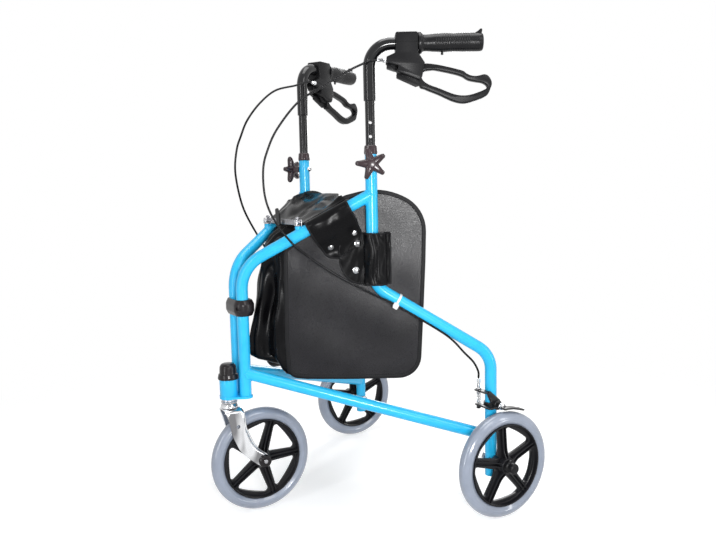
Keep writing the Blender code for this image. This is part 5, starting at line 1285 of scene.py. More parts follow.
    def bolt_tip(self) -> None:
        """Chrome acorn nut on the inner side of the upright, opposite the knob."""
        start = PLAN.tube - 0.0006
        tip = fillet([(0, start), (0.0052, start), (0.0052, start + 0.003), (0.0036, start + 0.0058),
                      (0, start + 0.0068)], [0, 0.0003, 0.0008, 0.0022, 0], 4, False) * (1, -1)
        mesh = Skin(self.side.place).turn(tip, (0, PLAN.upright, PLAN.knob_z), (1, 0, 0), 28).mesh()
        self.side.show("bolt_tip", mesh, REFLECTION_PAINTED_CHROME, "side", "chrome")

    def build(self) -> None:
        """All pieces of one handle."""
        self.tube()
        self.grip()
        self.collar()
        self.knob()
        self.bolt_tip()


# Hand brakes

@dataclass
class HandBrake:
    """Loop-lever hand brake with its parking rocker and cable adjuster."""

    side: Side
    front: float = 0.291
    rear: float = 0.3322
    half_width: float = 0.017
    half_height: float = 0.0178
    lever_half: float = 0.0072
    rocker_pivot: tuple = (0.3, 0.828)
    lever_pivot: tuple = (0.32, 0.812)
    cable_side: float = 0.0136
    cable_z: float = 0.843

    def plate(self, outline: Sequence, low: float, high: float, holes: Sequence = (),
              bevel: float = 0.0012) -> Mesh:
        """Plate in the frame's plane, ready for a boolean."""
        return Skin(self.side.place).solid(prism(outline, low, high, holes, bevel), (2, 0, 1)).mesh()

    def pin(self, centre: Sequence, radius: float, low: float, high: float) -> Mesh:
        """Round pin across the plane."""
        profile = bar(radius, low, high, 0.0004)
        return Skin(self.side.place).turn(profile, (0, *centre), (1, 0, 0), 28).mesh()

    def housing(self) -> None:
        """Clamp block with two cheeks, a screw and a parting line."""
        top = PLAN.grip_z + self.half_height
        under = PLAN.grip_z - self.half_height
        nose = self.front - 0.0166
        corners = [(self.front, top), (self.rear, top), (self.rear - 0.001, under),
                   (self.rear + 0.011, 0.837), (self.rear + 0.006, 0.813), (0.334, 0.8065), (0.2925, 0.823),
                   (0.296, 0.8325), (nose, 0.8385), (nose, self.cable_z + 0.0055), (self.front, under)]
        radii = [0.004, 0.004, 0.003, 0.005, 0.004, 0.003, 0.003, 0.002, 0.002, 0.003, 0.003]
        body = self.plate(fillet(corners, radii, 5), -self.half_width, self.half_width, bevel=0.0022)
        slot_half = self.lever_half + 0.0008
        slot = self.plate([(nose - 0.002, 0.79), (self.rear + 0.02, 0.79), (self.rear + 0.02, under - 0.01),
                           (nose - 0.002, under - 0.01)], -slot_half, slot_half, bevel=0.0)
        bore = Skin(self.side.place).turn(bar(PLAN.tube + 0.0003, self.front - 0.004, self.rear + 0.004),
                                          (0, 0, PLAN.grip_z), (0, 1, 0), 36).mesh()
        groove = self.plate([(self.front - 0.003, PLAN.grip_z - 0.0004),
                             (self.rear + 0.003, PLAN.grip_z - 0.0004),
                             (self.rear + 0.003, PLAN.grip_z + 0.0004),
                             (self.front - 0.003, PLAN.grip_z + 0.0004)], self.half_width - 0.0006,
                            self.half_width + 0.003, bevel=0.0)
        mesh = carved(body, [slot, bore, groove])
        self.side.show("brake_block", mesh, BLACK_PLASTIC, "handle", "black_plastic", "brake_housing")

    def rocker(self) -> None:
        """Parking rocker with its trunnion and the lever's pin."""
        out, z = self.rocker_pivot
        lever_out, lever_z = self.lever_pivot
        nose = fillet([(out - 0.0245, z + 0.0015), (out - 0.009, z - 0.004), (out - 0.009, z + 0.0125),
                       (out - 0.0245, z + 0.0095)], 0.0014, 4)
        tail = fillet([(out - 0.013, z - 0.002), (out, z - 0.0065), (lever_out - 0.006, lever_z - 0.0055),
                       (lever_out + 0.006, lever_z - 0.0055), (lever_out + 0.0075, lever_z + 0.005),
                       (out + 0.007, z + 0.0075), (out - 0.006, z + 0.0115), (out - 0.013, z + 0.0115)],
                      0.0022, 4)
        skin = Skin(self.side.place)
        skin.solid(prism(nose, -self.lever_half, self.lever_half, bevel=0.0008), (2, 0, 1))
        skin.solid(prism(tail, -self.lever_half + 0.0003, -0.0002, bevel=0.0006), (2, 0, 1))
        reach = self.half_width - 0.0043
        skin.turn(bar(0.003, -reach, reach), (0, out, z), (1, 0, 0), 24)
        skin.turn(bar(0.003, -0.0043, self.lever_half), (0, lever_out, lever_z), (1, 0, 0), 24)
        self.side.show("park_rocker", skin.mesh(), BLACK_PLASTIC, "rocker", "black_plastic", "brake_rocker")

    def lever(self) -> None:
        """Open finger loop with a half-width root on the rocker's pin."""
        outer = [(0.3335, 0.833), (0.344, 0.837), (0.369, 0.834), (0.409, 0.824), (0.418, 0.8186),
                 (0.427, 0.8145), (0.437, 0.8135), (0.452, 0.816), (0.46, 0.8105), (0.464, 0.801),
                 (0.462, 0.792), (0.454, 0.778), (0.431, 0.769), (0.413, 0.7655), (0.394, 0.7695),
                 (0.369, 0.781), (0.344, 0.7915), (0.3335, 0.7985)]
        inner = [(0.3395, 0.819), (0.344, 0.8235), (0.354, 0.825), (0.365, 0.8245), (0.405, 0.815),
                 (0.421, 0.8065), (0.433, 0.8035), (0.449, 0.8), (0.4545, 0.7915), (0.431, 0.782),
                 (0.413, 0.7795), (0.395, 0.7825), (0.369, 0.793), (0.353, 0.799), (0.343, 0.805),
                 (0.338, 0.812)]
        skin = Skin(self.side.place)
        skin.solid(prism(smooth(outer, 150, True), -self.lever_half, self.lever_half,
                         [smooth(inner, 130, True)[::-1]], 0.0024), (2, 0, 1))
        root = fillet([(0.2925, 0.812), (0.327, 0.796), (0.336, 0.7985), (0.336, 0.832), (0.328, 0.83),
                       (0.313, 0.8215), (0.2925, 0.8195)], [0.0015, 0.002, 0, 0, 0.002, 0.004, 0.0015], 3)
        skin.solid(prism(root, 0.0002, self.lever_half - 0.0003, bevel=0.0008), (2, 0, 1))
        drill = self.pin(self.lever_pivot, 0.0033, -self.lever_half, self.lever_half + 0.003)
        self.side.show("loop_lever", carved(skin.mesh(), [drill]), BLACK_PLASTIC, "lever", "black_plastic",
                       "brake_lever", 50.0)

    def adjuster(self) -> None:
        """Barrel adjuster with rings of thread and a knurled nut.

        Both cables leave on the same hand of their own housing, so the right one's side is turned.
        """
        start = PLAN.upright + 0.014
        length = self.front - 0.0166 - PLAN.gap - start
        t = np.linspace(0.0035, length - 0.0066, 60)
        thread = np.column_stack([0.0028 + 0.00022 * np.sin(2 * np.pi * t / 0.0011), t])
        profile = np.vstack([[(0, 0), (0.0026, 0.0), (0.0026, 0.003)], thread])
        skin = Skin(lambda points: self.side.place(points + np.array([self.cable_off, start, self.cable_z])))
        skin.turn(np.vstack([profile, [(0, length - 0.006)]]), axis=(0, 1, 0), around=24)
        knurl = ring(0.0042, 48) * (1 + 0.035 * np.cos(np.arange(48) * np.pi))[:, None]
        skin.solid(prism(knurl, length - 0.0062, length, bevel=0.0004), (0, 2, 1))
        self.side.show("barrel_adjuster", skin.mesh(), REFLECTION_PAINTED_CHROME, "handle", "chrome", "cable_adjuster")

    @property
    def cable_off(self) -> float:
        """Where the cable leaves, measured outward from the plane of its own frame."""
        return self.side.sign * self.cable_side

    def build(self) -> None:
        """All pieces of one hand brake."""
        self.housing()
        self.rocker()
        self.lever()
        self.adjuster()


@dataclass
class BrakeCable:
    """Brake cable held by its housing, its clip and its stop."""

    side: Side
    radius: float = 0.002
    clip_out: float = 0.29

    def slope_point(self, out: float) -> tuple:
        """Point of the cable against the lower slope's outer underside."""
        away = (PLAN.tube + self.radius + PLAN.gap) / math.sqrt(2)
        return (away, out - away * math.sin(PLAN.lower_slope),
                PLAN.lower_z(out) - away * math.cos(PLAN.lower_slope))

    def route(self) -> Array:
        """The cable's line, the same as that of its solid."""
        start = (self.side.sign * 0.0136, PLAN.upright + 0.0137, 0.843)
        if self.side.sign > 0:
            loop = [(0.0136, 0.244, 0.8424), (0.0136, 0.231, 0.8365), (0.0136, 0.208, 0.826),
                    (0.0132, 0.16, 0.799), (0.0128, 0.116, 0.773), (0.0126, 0.077, 0.727),
                    (0.013, 0.058, 0.689), (0.0136, 0.049, 0.654), (0.0142, 0.051, 0.604),
                    (0.0148, 0.0665, 0.562), (0.0152, 0.096, 0.5215)]
        else:
            loop = [(-0.0136, 0.244, 0.8426), (-0.0136, 0.229, 0.8385), (-0.0136, 0.199, 0.83),
                    (-0.012, 0.134, 0.814), (-0.008, 0.088, 0.786), (-0.004, 0.052, 0.751),
                    (0.0, 0.035, 0.719), (0.004, 0.027, 0.695), (0.009, 0.026, 0.657), (0.012, 0.038, 0.613),
                    (0.014, 0.057, 0.575), (0.0152, 0.093, 0.53)]
        across = [(0.0158, 0.124, 0.497), (0.0158, 0.165, 0.4675), (0.015, 0.206, 0.443),
                  (0.0118, 0.245, 0.4215)]
        drop = [(0.009, 0.389, 0.333), (0.006, 0.411, 0.3085), (0.0026, 0.429, 0.289), (0.0, 0.4385, 0.27)]
        end = (0.0, PLAN.leg - 0.023, 0.2573)
        knots = [start, *loop, *across, self.slope_point(self.clip_out), self.slope_point(0.366), *drop, end]
        return smooth(knots, 320)

    def build(self) -> None:
        """Cable housing along its route, left on no body, and the clip."""
        grid = sweep(self.route(), ring(self.radius, 14), OUTWARD)
        name = self.side.name
        cable = show(name + "cable_housing", Skin(self.side.place).grid(grid).mesh(), CABLE_SKIN, None,
                     [name + "brake_cable"])
        start = self.side.place(np.array([0.0, 0.1, 0.56]))
        end = self.side.place(np.array([0.0, 0.1, 0.8]))
        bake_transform(cable)
        along = np.array([0.0, math.cos(PLAN.lower_slope), -math.sin(PLAN.lower_slope)])
        middle = np.array([0.0, self.clip_out, PLAN.lower_z(self.clip_out)])
        skin = Skin(self.side.place)
        band = hoop(PLAN.tube + 0.0002, PLAN.tube + 0.0014, -0.0022, 0.0022, 0.0005)
        skin.turn(band, middle, along, 44, loop=True)
        hood = hoop(self.radius + 0.0001, self.radius + 0.0022, -0.005, 0.005, 0.0006)
        held = np.array(self.slope_point(self.clip_out))
        skin.turn(hood, held, along, 24, loop=True)
        facing = unit(np.array([1.0, -0.25 * math.sin(PLAN.lower_slope), -0.25 * math.cos(PLAN.lower_slope)]))
        basis = np.array([along, np.cross(facing, along), facing])
        buckle = prism(slab(0.0094, 0.01, 0.0014), 0.0014, 0.0044, bevel=0.0008)
        points = points_of(buckle) @ basis + held - np.array([0.0, 0.0, 0.0015])
        buckle.vertices.foreach_set("co", points.ravel())
        skin.solid(buckle)
        self.side.show("white_clip", skin.mesh(), CLIP_WHITE, "side", "clip_white", "cable_clip")


@dataclass
class TyreBrake:
    """Tyre brake of one rear wheel: bracket, shoe, bolt, cable stop and spring."""

    side: Side
    rod_ahead: float = 0.023
    pivot_back: float = 0.003
    pivot_z: float = 0.208
    ear_out: float = 0.019
    shoe_gap: float = 0.005
    shoe_thick: float = 0.003
    shoe_half: float = 0.0092
    barrel_end: float = 0.0268
    arc: float = math.radians(24.0)
    arm_z: float = 0.2052
    tab_z: float = 0.233
    arm_in: float = 0.0118

    @property
    def rod(self) -> tuple:
        """Place of the cable's wire beside the leg."""
        return -self.rod_ahead * math.sin(PLAN.angle), -self.rod_ahead * math.cos(PLAN.angle)

    def bracket(self) -> None:
        """Slim band round the leg, a slanting arm with the pivot's boss, and a tab for the stop."""
        outer = PLAN.tube + PLAN.gap + 0.0022
        skin = Skin(self.side.leg_place)
        low, high = self.pivot_z - 0.0085, self.pivot_z + 0.0045
        band = hoop(PLAN.tube + 0.0002, outer, low, high, 0.0007, 3)
        skin.turn(band, around=44, loop=True)
        tab, back, pivot = self.tab_z, self.pivot_back, self.pivot_z
        radii = [0.0008, 0.003, 0.004, 0.004, 0.004, 0.004, 0.0008]
        arm = fillet([(-0.0205, tab + 0.003), (-0.012, tab + 0.003), (back + 0.0075, pivot + 0.0085),
                      (back + 0.009, pivot - 0.0035), (back - 0.0005, pivot - 0.0095),
                      (-0.0065, pivot - 0.0035), (-0.0205, tab)], radii, 4)
        skin.solid(prism(arm, self.arm_in, self.arm_in + 0.003, bevel=0.0006), (2, 0, 1))
        flat = hoop(-0.0175, self.arm_in + 0.003, -0.0265, -0.0135, 0.0026, 4)
        skin.solid(prism(flat, tab, tab + 0.003, bevel=0.0006))
        boss = fillet([(0, self.arm_in), (0.0096, self.arm_in), (0.0092, self.ear_out), (0, self.ear_out)],
                      [0, 0, 0.0012, 0], 3, False)
        skin.turn(boss, (0, back, pivot), (1, 0, 0), 28)
        self.side.show("leg_bracket", skin.mesh(), SHOE_STEEL, "side", "black_plastic", "brake_bracket")

    def shoe(self) -> None:
        """Shoe: a pad bent over the tyre, a barrel, and an arm to the wire.

        The pad's middle line is axle + (R + gap + half its thickness) * (sin t, cos t), and it
        flares away from the tyre at its rear end.
        """
        skin = Skin(self.side.leg_place)
        t = np.linspace(math.radians(-1), self.arc, 40)
        share = np.linspace(0, 1, 40)
        flare = 0.0012 * np.clip((share - 0.75) / 0.25, 0, 1) ** 2
        radius = PLAN.wheel_radius + self.shoe_gap + self.shoe_thick / 2 + flare
        path = np.column_stack([np.full(40, PLAN.wheel_out), radius * np.sin(t),
                                PLAN.wheel_radius + radius * np.cos(t)])
        skin.grid(sweep(path, slab(2 * self.shoe_half, self.shoe_thick, 0.0009), OUTWARD))
        start, end = self.ear_out + PLAN.gap, self.barrel_end
        barrel = hoop(0.003, 0.005, start, end, 0.0004)
        skin.turn(barrel, (0, self.pivot_back, self.pivot_z), (1, 0, 0), 32, loop=True)
        x, y = self.rod
        arm = fillet([(start, self.pivot_back), (start + 0.009, self.pivot_back), (start + 0.009, y - 0.0055),
                      (x - 0.006, y - 0.0055), (x - 0.006, y + 0.0045), (start, y + 0.0045)],
                     [0.0, 0.0, 0.004, 0.003, 0.003, 0.004], 5)
        skin.solid(prism(arm, self.arm_z, self.arm_z + 0.003, bevel=0.0007))
        anchor = hoop(0.0014, 0.004, self.arm_z - 0.006, self.arm_z + 0.0015, 0.0005)
        skin.turn(anchor, (x, y, 0), around=24, loop=True)
        self.side.show("shoe_plate", skin.mesh(), SHOE_STEEL, "shoe", "black_steel", "brake_shoe")

    def bolt(self) -> None:
        """Pivot bolt with a hexagon head."""
        end = self.barrel_end + PLAN.gap
        centre = (0, self.pivot_back, self.pivot_z)
        skin = Skin(self.side.leg_place)
        start = PLAN.tube + PLAN.gap + 0.0028
        skin.turn(bar(0.0028, start, end), centre, (1, 0, 0), 24)
        washer = bar(0.0068, end, end + 0.001, 0.0003)
        skin.turn(washer, centre, (1, 0, 0), 32)
        skin.solid(prism(ring(0.0066, 6), end + 0.001, end + 0.005, bevel=0.0006), (2, 0, 1), centre)
        self.side.show("pivot_bolt", skin.mesh(), REFLECTION_PAINTED_CHROME, "side", "chrome", "brake_bolt")

    def stop(self) -> None:
        """Threaded cable stop with its nuts, and the bare wire down to the arm."""
        x, y = self.rod
        foot = self.tab_z
        seat = foot + 0.003 + PLAN.gap
        top = foot + 0.024
        t = np.linspace(seat, top - 0.0085, 80)
        thread = np.column_stack([0.0028 + 0.0002 * np.sin(2 * np.pi * t / 0.001), t])
        profile = np.vstack([[(0, self.arm_z - 0.005), (0.0008, self.arm_z - 0.005), (0.0008, foot - 0.002),
                              (0.0026, foot - 0.002), (0.0026, seat)], thread,
                             [(0.0036, top - 0.008), (0.0036, top), (0.0031, top + 0.0002),
                              (0, top + 0.0002)]])
        skin = Skin(self.side.leg_place)
        skin.turn(profile, (x, y, 0), around=24)
        skin.solid(prism(ring(0.0048, 6), seat, seat + 0.0034, bevel=0.0004), shift=(x, y, 0))
        self.side.show("threaded_stop", skin.mesh(), REFLECTION_PAINTED_CHROME, "side", "chrome", "cable_stop")

    def spring(self) -> None:
        """Return spring: a wire along x = r cos t, y = r sin t, z rising with t and closing at its ends."""
        x, y = self.rod
        low, high = self.arm_z + 0.0045, self.tab_z - 0.0015
        t = np.linspace(0, 2 * np.pi * 9, 9 * 18 + 1)
        share = t / t[-1]
        rise = share - 0.055 * np.sin(2 * np.pi * share)
        path = np.column_stack([x + 0.0036 * np.cos(t), y + 0.0036 * np.sin(t), low + (high - low) * rise])
        grid = sweep(path, ring(0.00055, 8), (0, 0, 1), ends=(End.ROUND, End.ROUND))
        spring = self.side.show("return_spring", Skin(self.side.leg_place).grid(grid).mesh(), REFLECTION_PAINTED_CHROME, "side",
                                "chrome", "brake_spring")
        anchor = self.side.leg_place(np.array([x, y, high]))
        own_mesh(spring)

    def build(self) -> None:
        """All pieces of one tyre brake."""
        self.bracket()
        self.shoe()
        self.bolt()
        self.stop()
        self.spring()


# Fold brace

@dataclass
class Brace:
    """Two-link brace between the frames, with its clevises and pull tab."""

    side: Side
    out: float = 0.108
    z: float = 0.557
    base: float = 0.0015
    half_height: float = 0.0048
    thick: float = 0.003

    @property
    def length(self) -> float:
        """Distance from a clevis to the middle."""
        return PLAN.post_x + self.out * math.sin(PLAN.angle)

    def clevis(self) -> None:
        """Swivelling fork of two cheeks on a round base, with a domed rivet."""
        foot = -self.half_height - PLAN.gap - self.base
        cheek = self.thick + 2 * PLAN.gap
        skin = Skin(self.side.brace_place)
        base = fillet(bar(0.0064, foot, foot + self.base), [0, 0.0004, 0.0003, 0], 2, False)
        skin.turn(base, around=32)
        outline = fillet([(-0.0061, foot + 0.0008), (0.0061, foot + 0.0008), (0.0061, 0.0055),
                          (-0.0061, 0.0055)], [0, 0, 0.0045, 0.0045], 6)
        for low in (cheek, -cheek - 0.002):
            skin.solid(prism(outline, low, low + 0.002, bevel=0.0004), (0, 2, 1))
        skin.turn(bar(0.0028, foot - 0.0055, foot + 0.001), around=20)
        end = cheek + 0.002
        t = np.linspace(0, np.pi / 2, 6)
        dome = np.column_stack([0.0034 * np.cos(t), end + 0.0014 * np.sin(t)])
        rivet = np.vstack([(dome * (1, -1))[::-1], dome])
        skin.turn(rivet, axis=(0, 1, 0), around=28)
        self.side.show("swivel_clevis", skin.mesh(), ZINC, "clevis", "zinc", "brace_clevis")

    def link(self) -> None:
        """Flat steel link with round ends; the front one carries the middle rivet."""
        rear = self.side.sign > 0
        low, high = (-self.thick - 0.00015, -0.00015) if rear else (0.00015, self.thick + 0.00015)
        t = np.linspace(-np.pi / 2, np.pi / 2, 12)
        start = self.half_height * np.stack([np.cos(t), np.sin(t)], -1)
        outline = np.vstack([start, -start - (self.length, 0)])
        skin = Skin(self.side.brace_place)
        skin.solid(prism(outline, low, high, bevel=0.0005), (0, 2, 1))
        knob = fillet([(0, 0.0044), (0.0024, 0.0044), (0.0024, 0.006), (0.004, 0.0062), (0.004, 0.008),
                       (0.0026, 0.01), (0, 0.0106)], [0, 0, 0.0003, 0.0004, 0.0008, 0.0018, 0], 4, False)
        skin.turn(knob, (0, (low + high) / 2, 0), around=24)
        if not rear:
            t = np.linspace(0, np.pi / 2, 6)
            head = np.column_stack([0.0042 * np.cos(t), high + 0.0014 * np.sin(t)])
            skin.turn(np.vstack([[(0, low)], [(0.0042, low)], head]), (-self.length, 0, 0), (0, 1, 0), 32)
        self.side.show("steel_link", skin.mesh(), DARK_STEEL, "link", "zinc", "brace_link")

    def build(self) -> None:
        """Clevis and link of this side."""
        self.clevis()
        self.link()


def pull_tab() -> None:
    """Finish of the black tab on the middle of the brace."""
    dress_node("fold_tab", BLACK_PLASTIC)


# Bag

@dataclass
class BagSide:
    """Stiff panel of the bag with its binding, flap, wrap, studs and half of the gusset."""

    side: Side
    thick: float = 0.0025
    off: float = -0.0129
    bottom: float = 0.258
    top: float = 0.614
    front: float = 0.076
    rear: float = 0.342
    tape: float = 0.008
    lid_off: float = -0.0022
    cloth: float = 0.0012

    @property
    def lid_taper(self) -> tuple:
        """Where the lid's rear edge begins to slant, and over what share; the right half is longer."""
        return (0.28, 0.5) if self.side.sign > 0 else (0.78, 0.16)

    def outline(self, inset: float = 0.0) -> Array:
        """Edge of the panel, or a line inside it, in the frame's plane."""
        corners = [(self.front + 0.003, 0.506), (self.front, 0.336),
                   (self.front + 0.003, self.bottom + 0.006), (0.115, self.bottom + 0.002),
                   (0.2, self.bottom), (self.rear - 0.012, self.bottom), (self.rear - 0.004, 0.4),
                   (self.rear, 0.48), (self.rear + 0.003, 0.58), (0.262, 0.62), (0.19, 0.603), (0.14, 0.556)]
        radii = [0.004, 0.05, 0.022, 0.0, 0.0, 0.042, 0.05, 0.05, 0.07, 0.12, 0.03, 0.03]
        path = fillet(corners, radii, 8)
        path = evenly(np.vstack([path, path[:1]]), 260, closed=True)
        along = tangents(path, closed=True)
        inward = np.stack([along[:, 1], -along[:, 0]], -1)
        area = np.sum(path[:, 0] * np.roll(path[:, 1], -1) - np.roll(path[:, 0], -1) * path[:, 1])
        return path - inward * inset * (1 if area > 0 else -1)

    def stitches(self, skin: Skin, path: Array, normal: Array, length: float = 0.0026,
                 pitch: float = 0.0042) -> None:
        """Row of thread stitches along a path: each is a small stretched octahedron."""
        total = float(np.linalg.norm(np.diff(path, axis=0), axis=1).sum())
        count = max(int(total / pitch), 2)
        spots = evenly(path, count)
        along = tangents(spots)
        normal = np.broadcast_to(normal, spots.shape)
        aside = np.cross(along, normal)
        for spot, forward, across, out in zip(spots, along, aside, normal):
            loop = np.array([across, out, -across, -out]) * 0.00042
            rows = np.stack([np.repeat((spot - forward * length / 2)[None], 4, 0),
                             spot - forward * length * 0.28 + loop, spot + forward * length * 0.28 + loop,
                             np.repeat((spot + forward * length / 2)[None], 4, 0)])
            skin.grid(rows)

    def panel(self) -> None:
        """Leatherette panel, bound round its edge with folded tape."""
        outer, inner = self.off, self.off - self.thick
        s = np.linspace(0, 1, 46)[:, None, None]
        centre = np.array([0.215, 0.43])
        flat = centre + (self.outline(0.001)[None] - centre) * s
        x, z = flat[..., 0], flat[..., 1]
        ripple = 0.0007 * np.sin(40 * x + 1.3) * np.sin(27 * z + 0.4) + 0.0004 * np.sin(23 * x + 55 * z)
        ripple = ripple + 0.0002 * np.sin(90 * x - 37 * z)
        ripple = ripple * np.clip((1 - s[..., 0]) * 5, 0, 1)
        face = np.concatenate([(outer + ripple)[..., None] * np.ones((1, flat.shape[1], 1)), flat], -1)
        back = np.concatenate([(inner + ripple)[..., None] * np.ones((1, flat.shape[1], 1)), flat], -1)[::-1]
        skin = Skin(self.side.place).grid(np.concatenate([face, back]))
        self.side.show("panel_sheet", skin.mesh(), LEATHERETTE, "side", "bag_sheet", "bag_panel", 60.0)
        tape = Skin(self.side.place)
        middle = flat_path(self.outline(self.tape / 2 - 0.0008), (outer + inner) / 2)
        section = slab(self.thick + 0.0018, self.tape, 0.0012)
        tape.grid(sweep(middle, section, OUTWARD, closed=True), loop_rows=True)
        self.side.show("panel_binding", tape.mesh(), BINDING, "side", "bag_sheet", sharp=60.0)
        thread = Skin(self.side.place)
        for face_off, normal in ((outer + 0.0009, (1.0, 0, 0)), (inner - 0.0009, (-1.0, 0, 0))):
            loop = self.outline(self.tape - 0.0022)
            self.stitches(thread, flat_path(np.vstack([loop, loop[:1]]), face_off), np.array(normal))
        self.side.show("panel_thread", thread.mesh(), THREAD, "side", "bag_sheet")

    def strap(self, name: str, surface: Array, thick: float = 0.0018) -> None:
        """Strap from a grid of its middle surface, given a wall and a bound edge.

        Args:
            name: Name of the piece.
            surface: Grid of points, rows along the strap.
            thick: Thickness of the strap.
        """
        mesh = walled(surface, self.side.place, thick)
        cloth = self.side.show(name, mesh, VINYL, "side", "bag_vinyl", sharp=60.0)
        rim = evenly(self.border(surface, True), 220, closed=True)
        normal = self.border(unit(np.cross(np.gradient(surface, axis=0), np.gradient(surface, axis=1))),
                             False)
        old, new = np.linspace(0, 1, len(normal)), np.linspace(0, 1, 220, endpoint=False)
        rim_normal = unit(np.stack([np.interp(new, old, normal[:, axis]) for axis in range(3)], -1))
        tape = sweep(rim, slab(thick + 0.0014, 0.0036, 0.001), rim_normal, closed=True)
        mesh = Skin(self.side.place).grid(tape, loop_rows=True).mesh()
        self.side.show(name + "_binding", mesh, BINDING, "side", "bag_vinyl", sharp=60.0)

    def border(self, rows: Array, back: bool) -> Array:
        """Outer values of a grid, once round it, and back to the first one if asked."""
        loop = np.vstack([rows[:, 0], rows[-1, 1:-1], rows[::-1, -1], rows[0, -2:0:-1]])
        return np.vstack([loop, loop[:1]]) if back else loop

    def flap(self) -> Array:
        """Surface of the flap over the upper slope, with its rounded lower tongue.

        A row is a point of the path round the tube and down the panel; a column is the
        distance along the tube, drawn in towards the tongue's round end.
        """
        slope = PLAN.upper_slope
        mid = PLAN.tube + 0.0026
        t = np.linspace(math.radians(172), math.radians(0), 24)
        over = mid * np.stack([np.cos(t), np.sin(t)], -1)
        inner = self.off - 0.0012
        lead = [(inner, -0.03), (inner + 0.0002, -0.018), (inner + 0.0004, -0.006)]
        hang = smooth([(mid, 0.0), (mid - 0.0016, -0.013), (0.0045, -0.028), (-0.005, -0.042),
                       (self.off + 0.0016, -0.057), (self.off + 0.0016, -0.0735)], 26)
        path = np.vstack([lead, over, hang[1:]])
        path = evenly(path, 84)
        travelled = path[:, 1]
        depth = np.clip((-travelled - 0.02) / 0.0535, 0, 1)
        on_front = np.arange(len(path)) > 30
        tongue = np.where(on_front, depth, 0.0)
        low = 0.016 * np.clip((tongue - 0.62) / 0.38, 0, 1) ** 2.2 + 0.004 * tongue
        end = np.clip((tongue - 0.55) / 0.45, 0, 1)
        high = 0.084 - 0.006 * tongue - 0.04 * (1 - np.sqrt(1 - end ** 2))
        v = np.linspace(0, 1, 34)[None]
        along = low[:, None] * (1 - v) + high[:, None] * v + 0.145
        fall, front = travelled[:, None], on_front[:, None]
        crease = (0.0011 * np.sin(v * 7.0 + fall * 60) + 0.0005 * np.sin(15 * v - 110 * fall)) * front
        off = path[:, :1] + crease + 0.0015 * front
        square = path[:, 1:] * np.ones_like(v)
        off = off * np.ones_like(v)
        out = along * math.cos(slope) - square * math.sin(slope)
        z = PLAN.post_corner_z + along * math.sin(slope) + square * math.cos(slope)
        return np.stack([off, out, z], -1)

    def wrap(self) -> Array:
        """Surface of the wide strap round the upright, with a rounded tongue in front."""
        foot, high = 0.44, 0.534
        inner = self.off + 0.0014
        middle = PLAN.upright + 0.005
        spread = PLAN.tube + 0.0095
        bulge = PLAN.tube + 0.0026
        t = np.radians(np.linspace(-32, 212, 40))
        ring_path = np.stack([bulge * np.sin(t), middle + spread * np.cos(t)], -1)
        lead = [(inner, middle + spread + 0.0075), (inner + 0.0004, middle + spread + 0.005),
                (inner + 0.002, middle + spread + 0.002)]
        tail = [(inner + 0.002, middle - spread - 0.004), (inner + 0.0004, middle - spread - 0.012),
                (inner, middle - spread - 0.026), (inner, middle - spread - 0.046)]
        path = evenly(np.vstack([lead, ring_path, tail]), 96)
        out = path[:, 1]
        tongue = np.clip((middle - spread - 0.006 - out) / 0.04, 0, 1)
        drop = 1 - np.sqrt(np.clip(1 - tongue ** 2, 0, 1))
        low = foot + 0.05 * drop
        top = high - 0.004 * tongue - 0.026 * drop
        v = np.linspace(0, 1, 36)[None]
        z = low[:, None] * (1 - v) + top[:, None] * v
        proud = np.clip((path[:, :1] - inner) / (bulge - inner), 0, 1)
        column = out[:, None]
        crease = 0.0013 * np.sin(column * 420 + v * 2.6 + 1.2 * np.sin(7 * v)) * proud
        crease = crease + 0.0007 * np.sin(column * 230 - v * 9)
        off = path[:, :1] + crease + 0.0006 + 0.0013 * proud
        return np.stack([off, out[:, None] * np.ones_like(v), z], -1)

    def studs(self) -> None:
        """Domed chrome snap fasteners on the two tongues: a flange and a cap."""
        skin = Skin(self.side.place)
        profile = fillet([(0, 0.0), (0.0062, 0.0), (0.0062, 0.001), (0.005, 0.0014), (0.0046, 0.0026),
                          (0.0, 0.0034)], [0, 0.0003, 0.0004, 0.0004, 0.0014, 0], 4, False)
        base = self.off + 0.004
        for off, out, z in ((base + 0.001, 0.166, 0.5105), (base + 0.0016, 0.2106, 0.537),
                            (base, 0.217, 0.515), (base, 0.2126, 0.4655)):
            skin.turn(profile, (off, out, z), (1, 0, 0), 28)
        self.side.show("snap_studs", skin.mesh(), REFLECTION_PAINTED_CHROME, "side", "chrome")

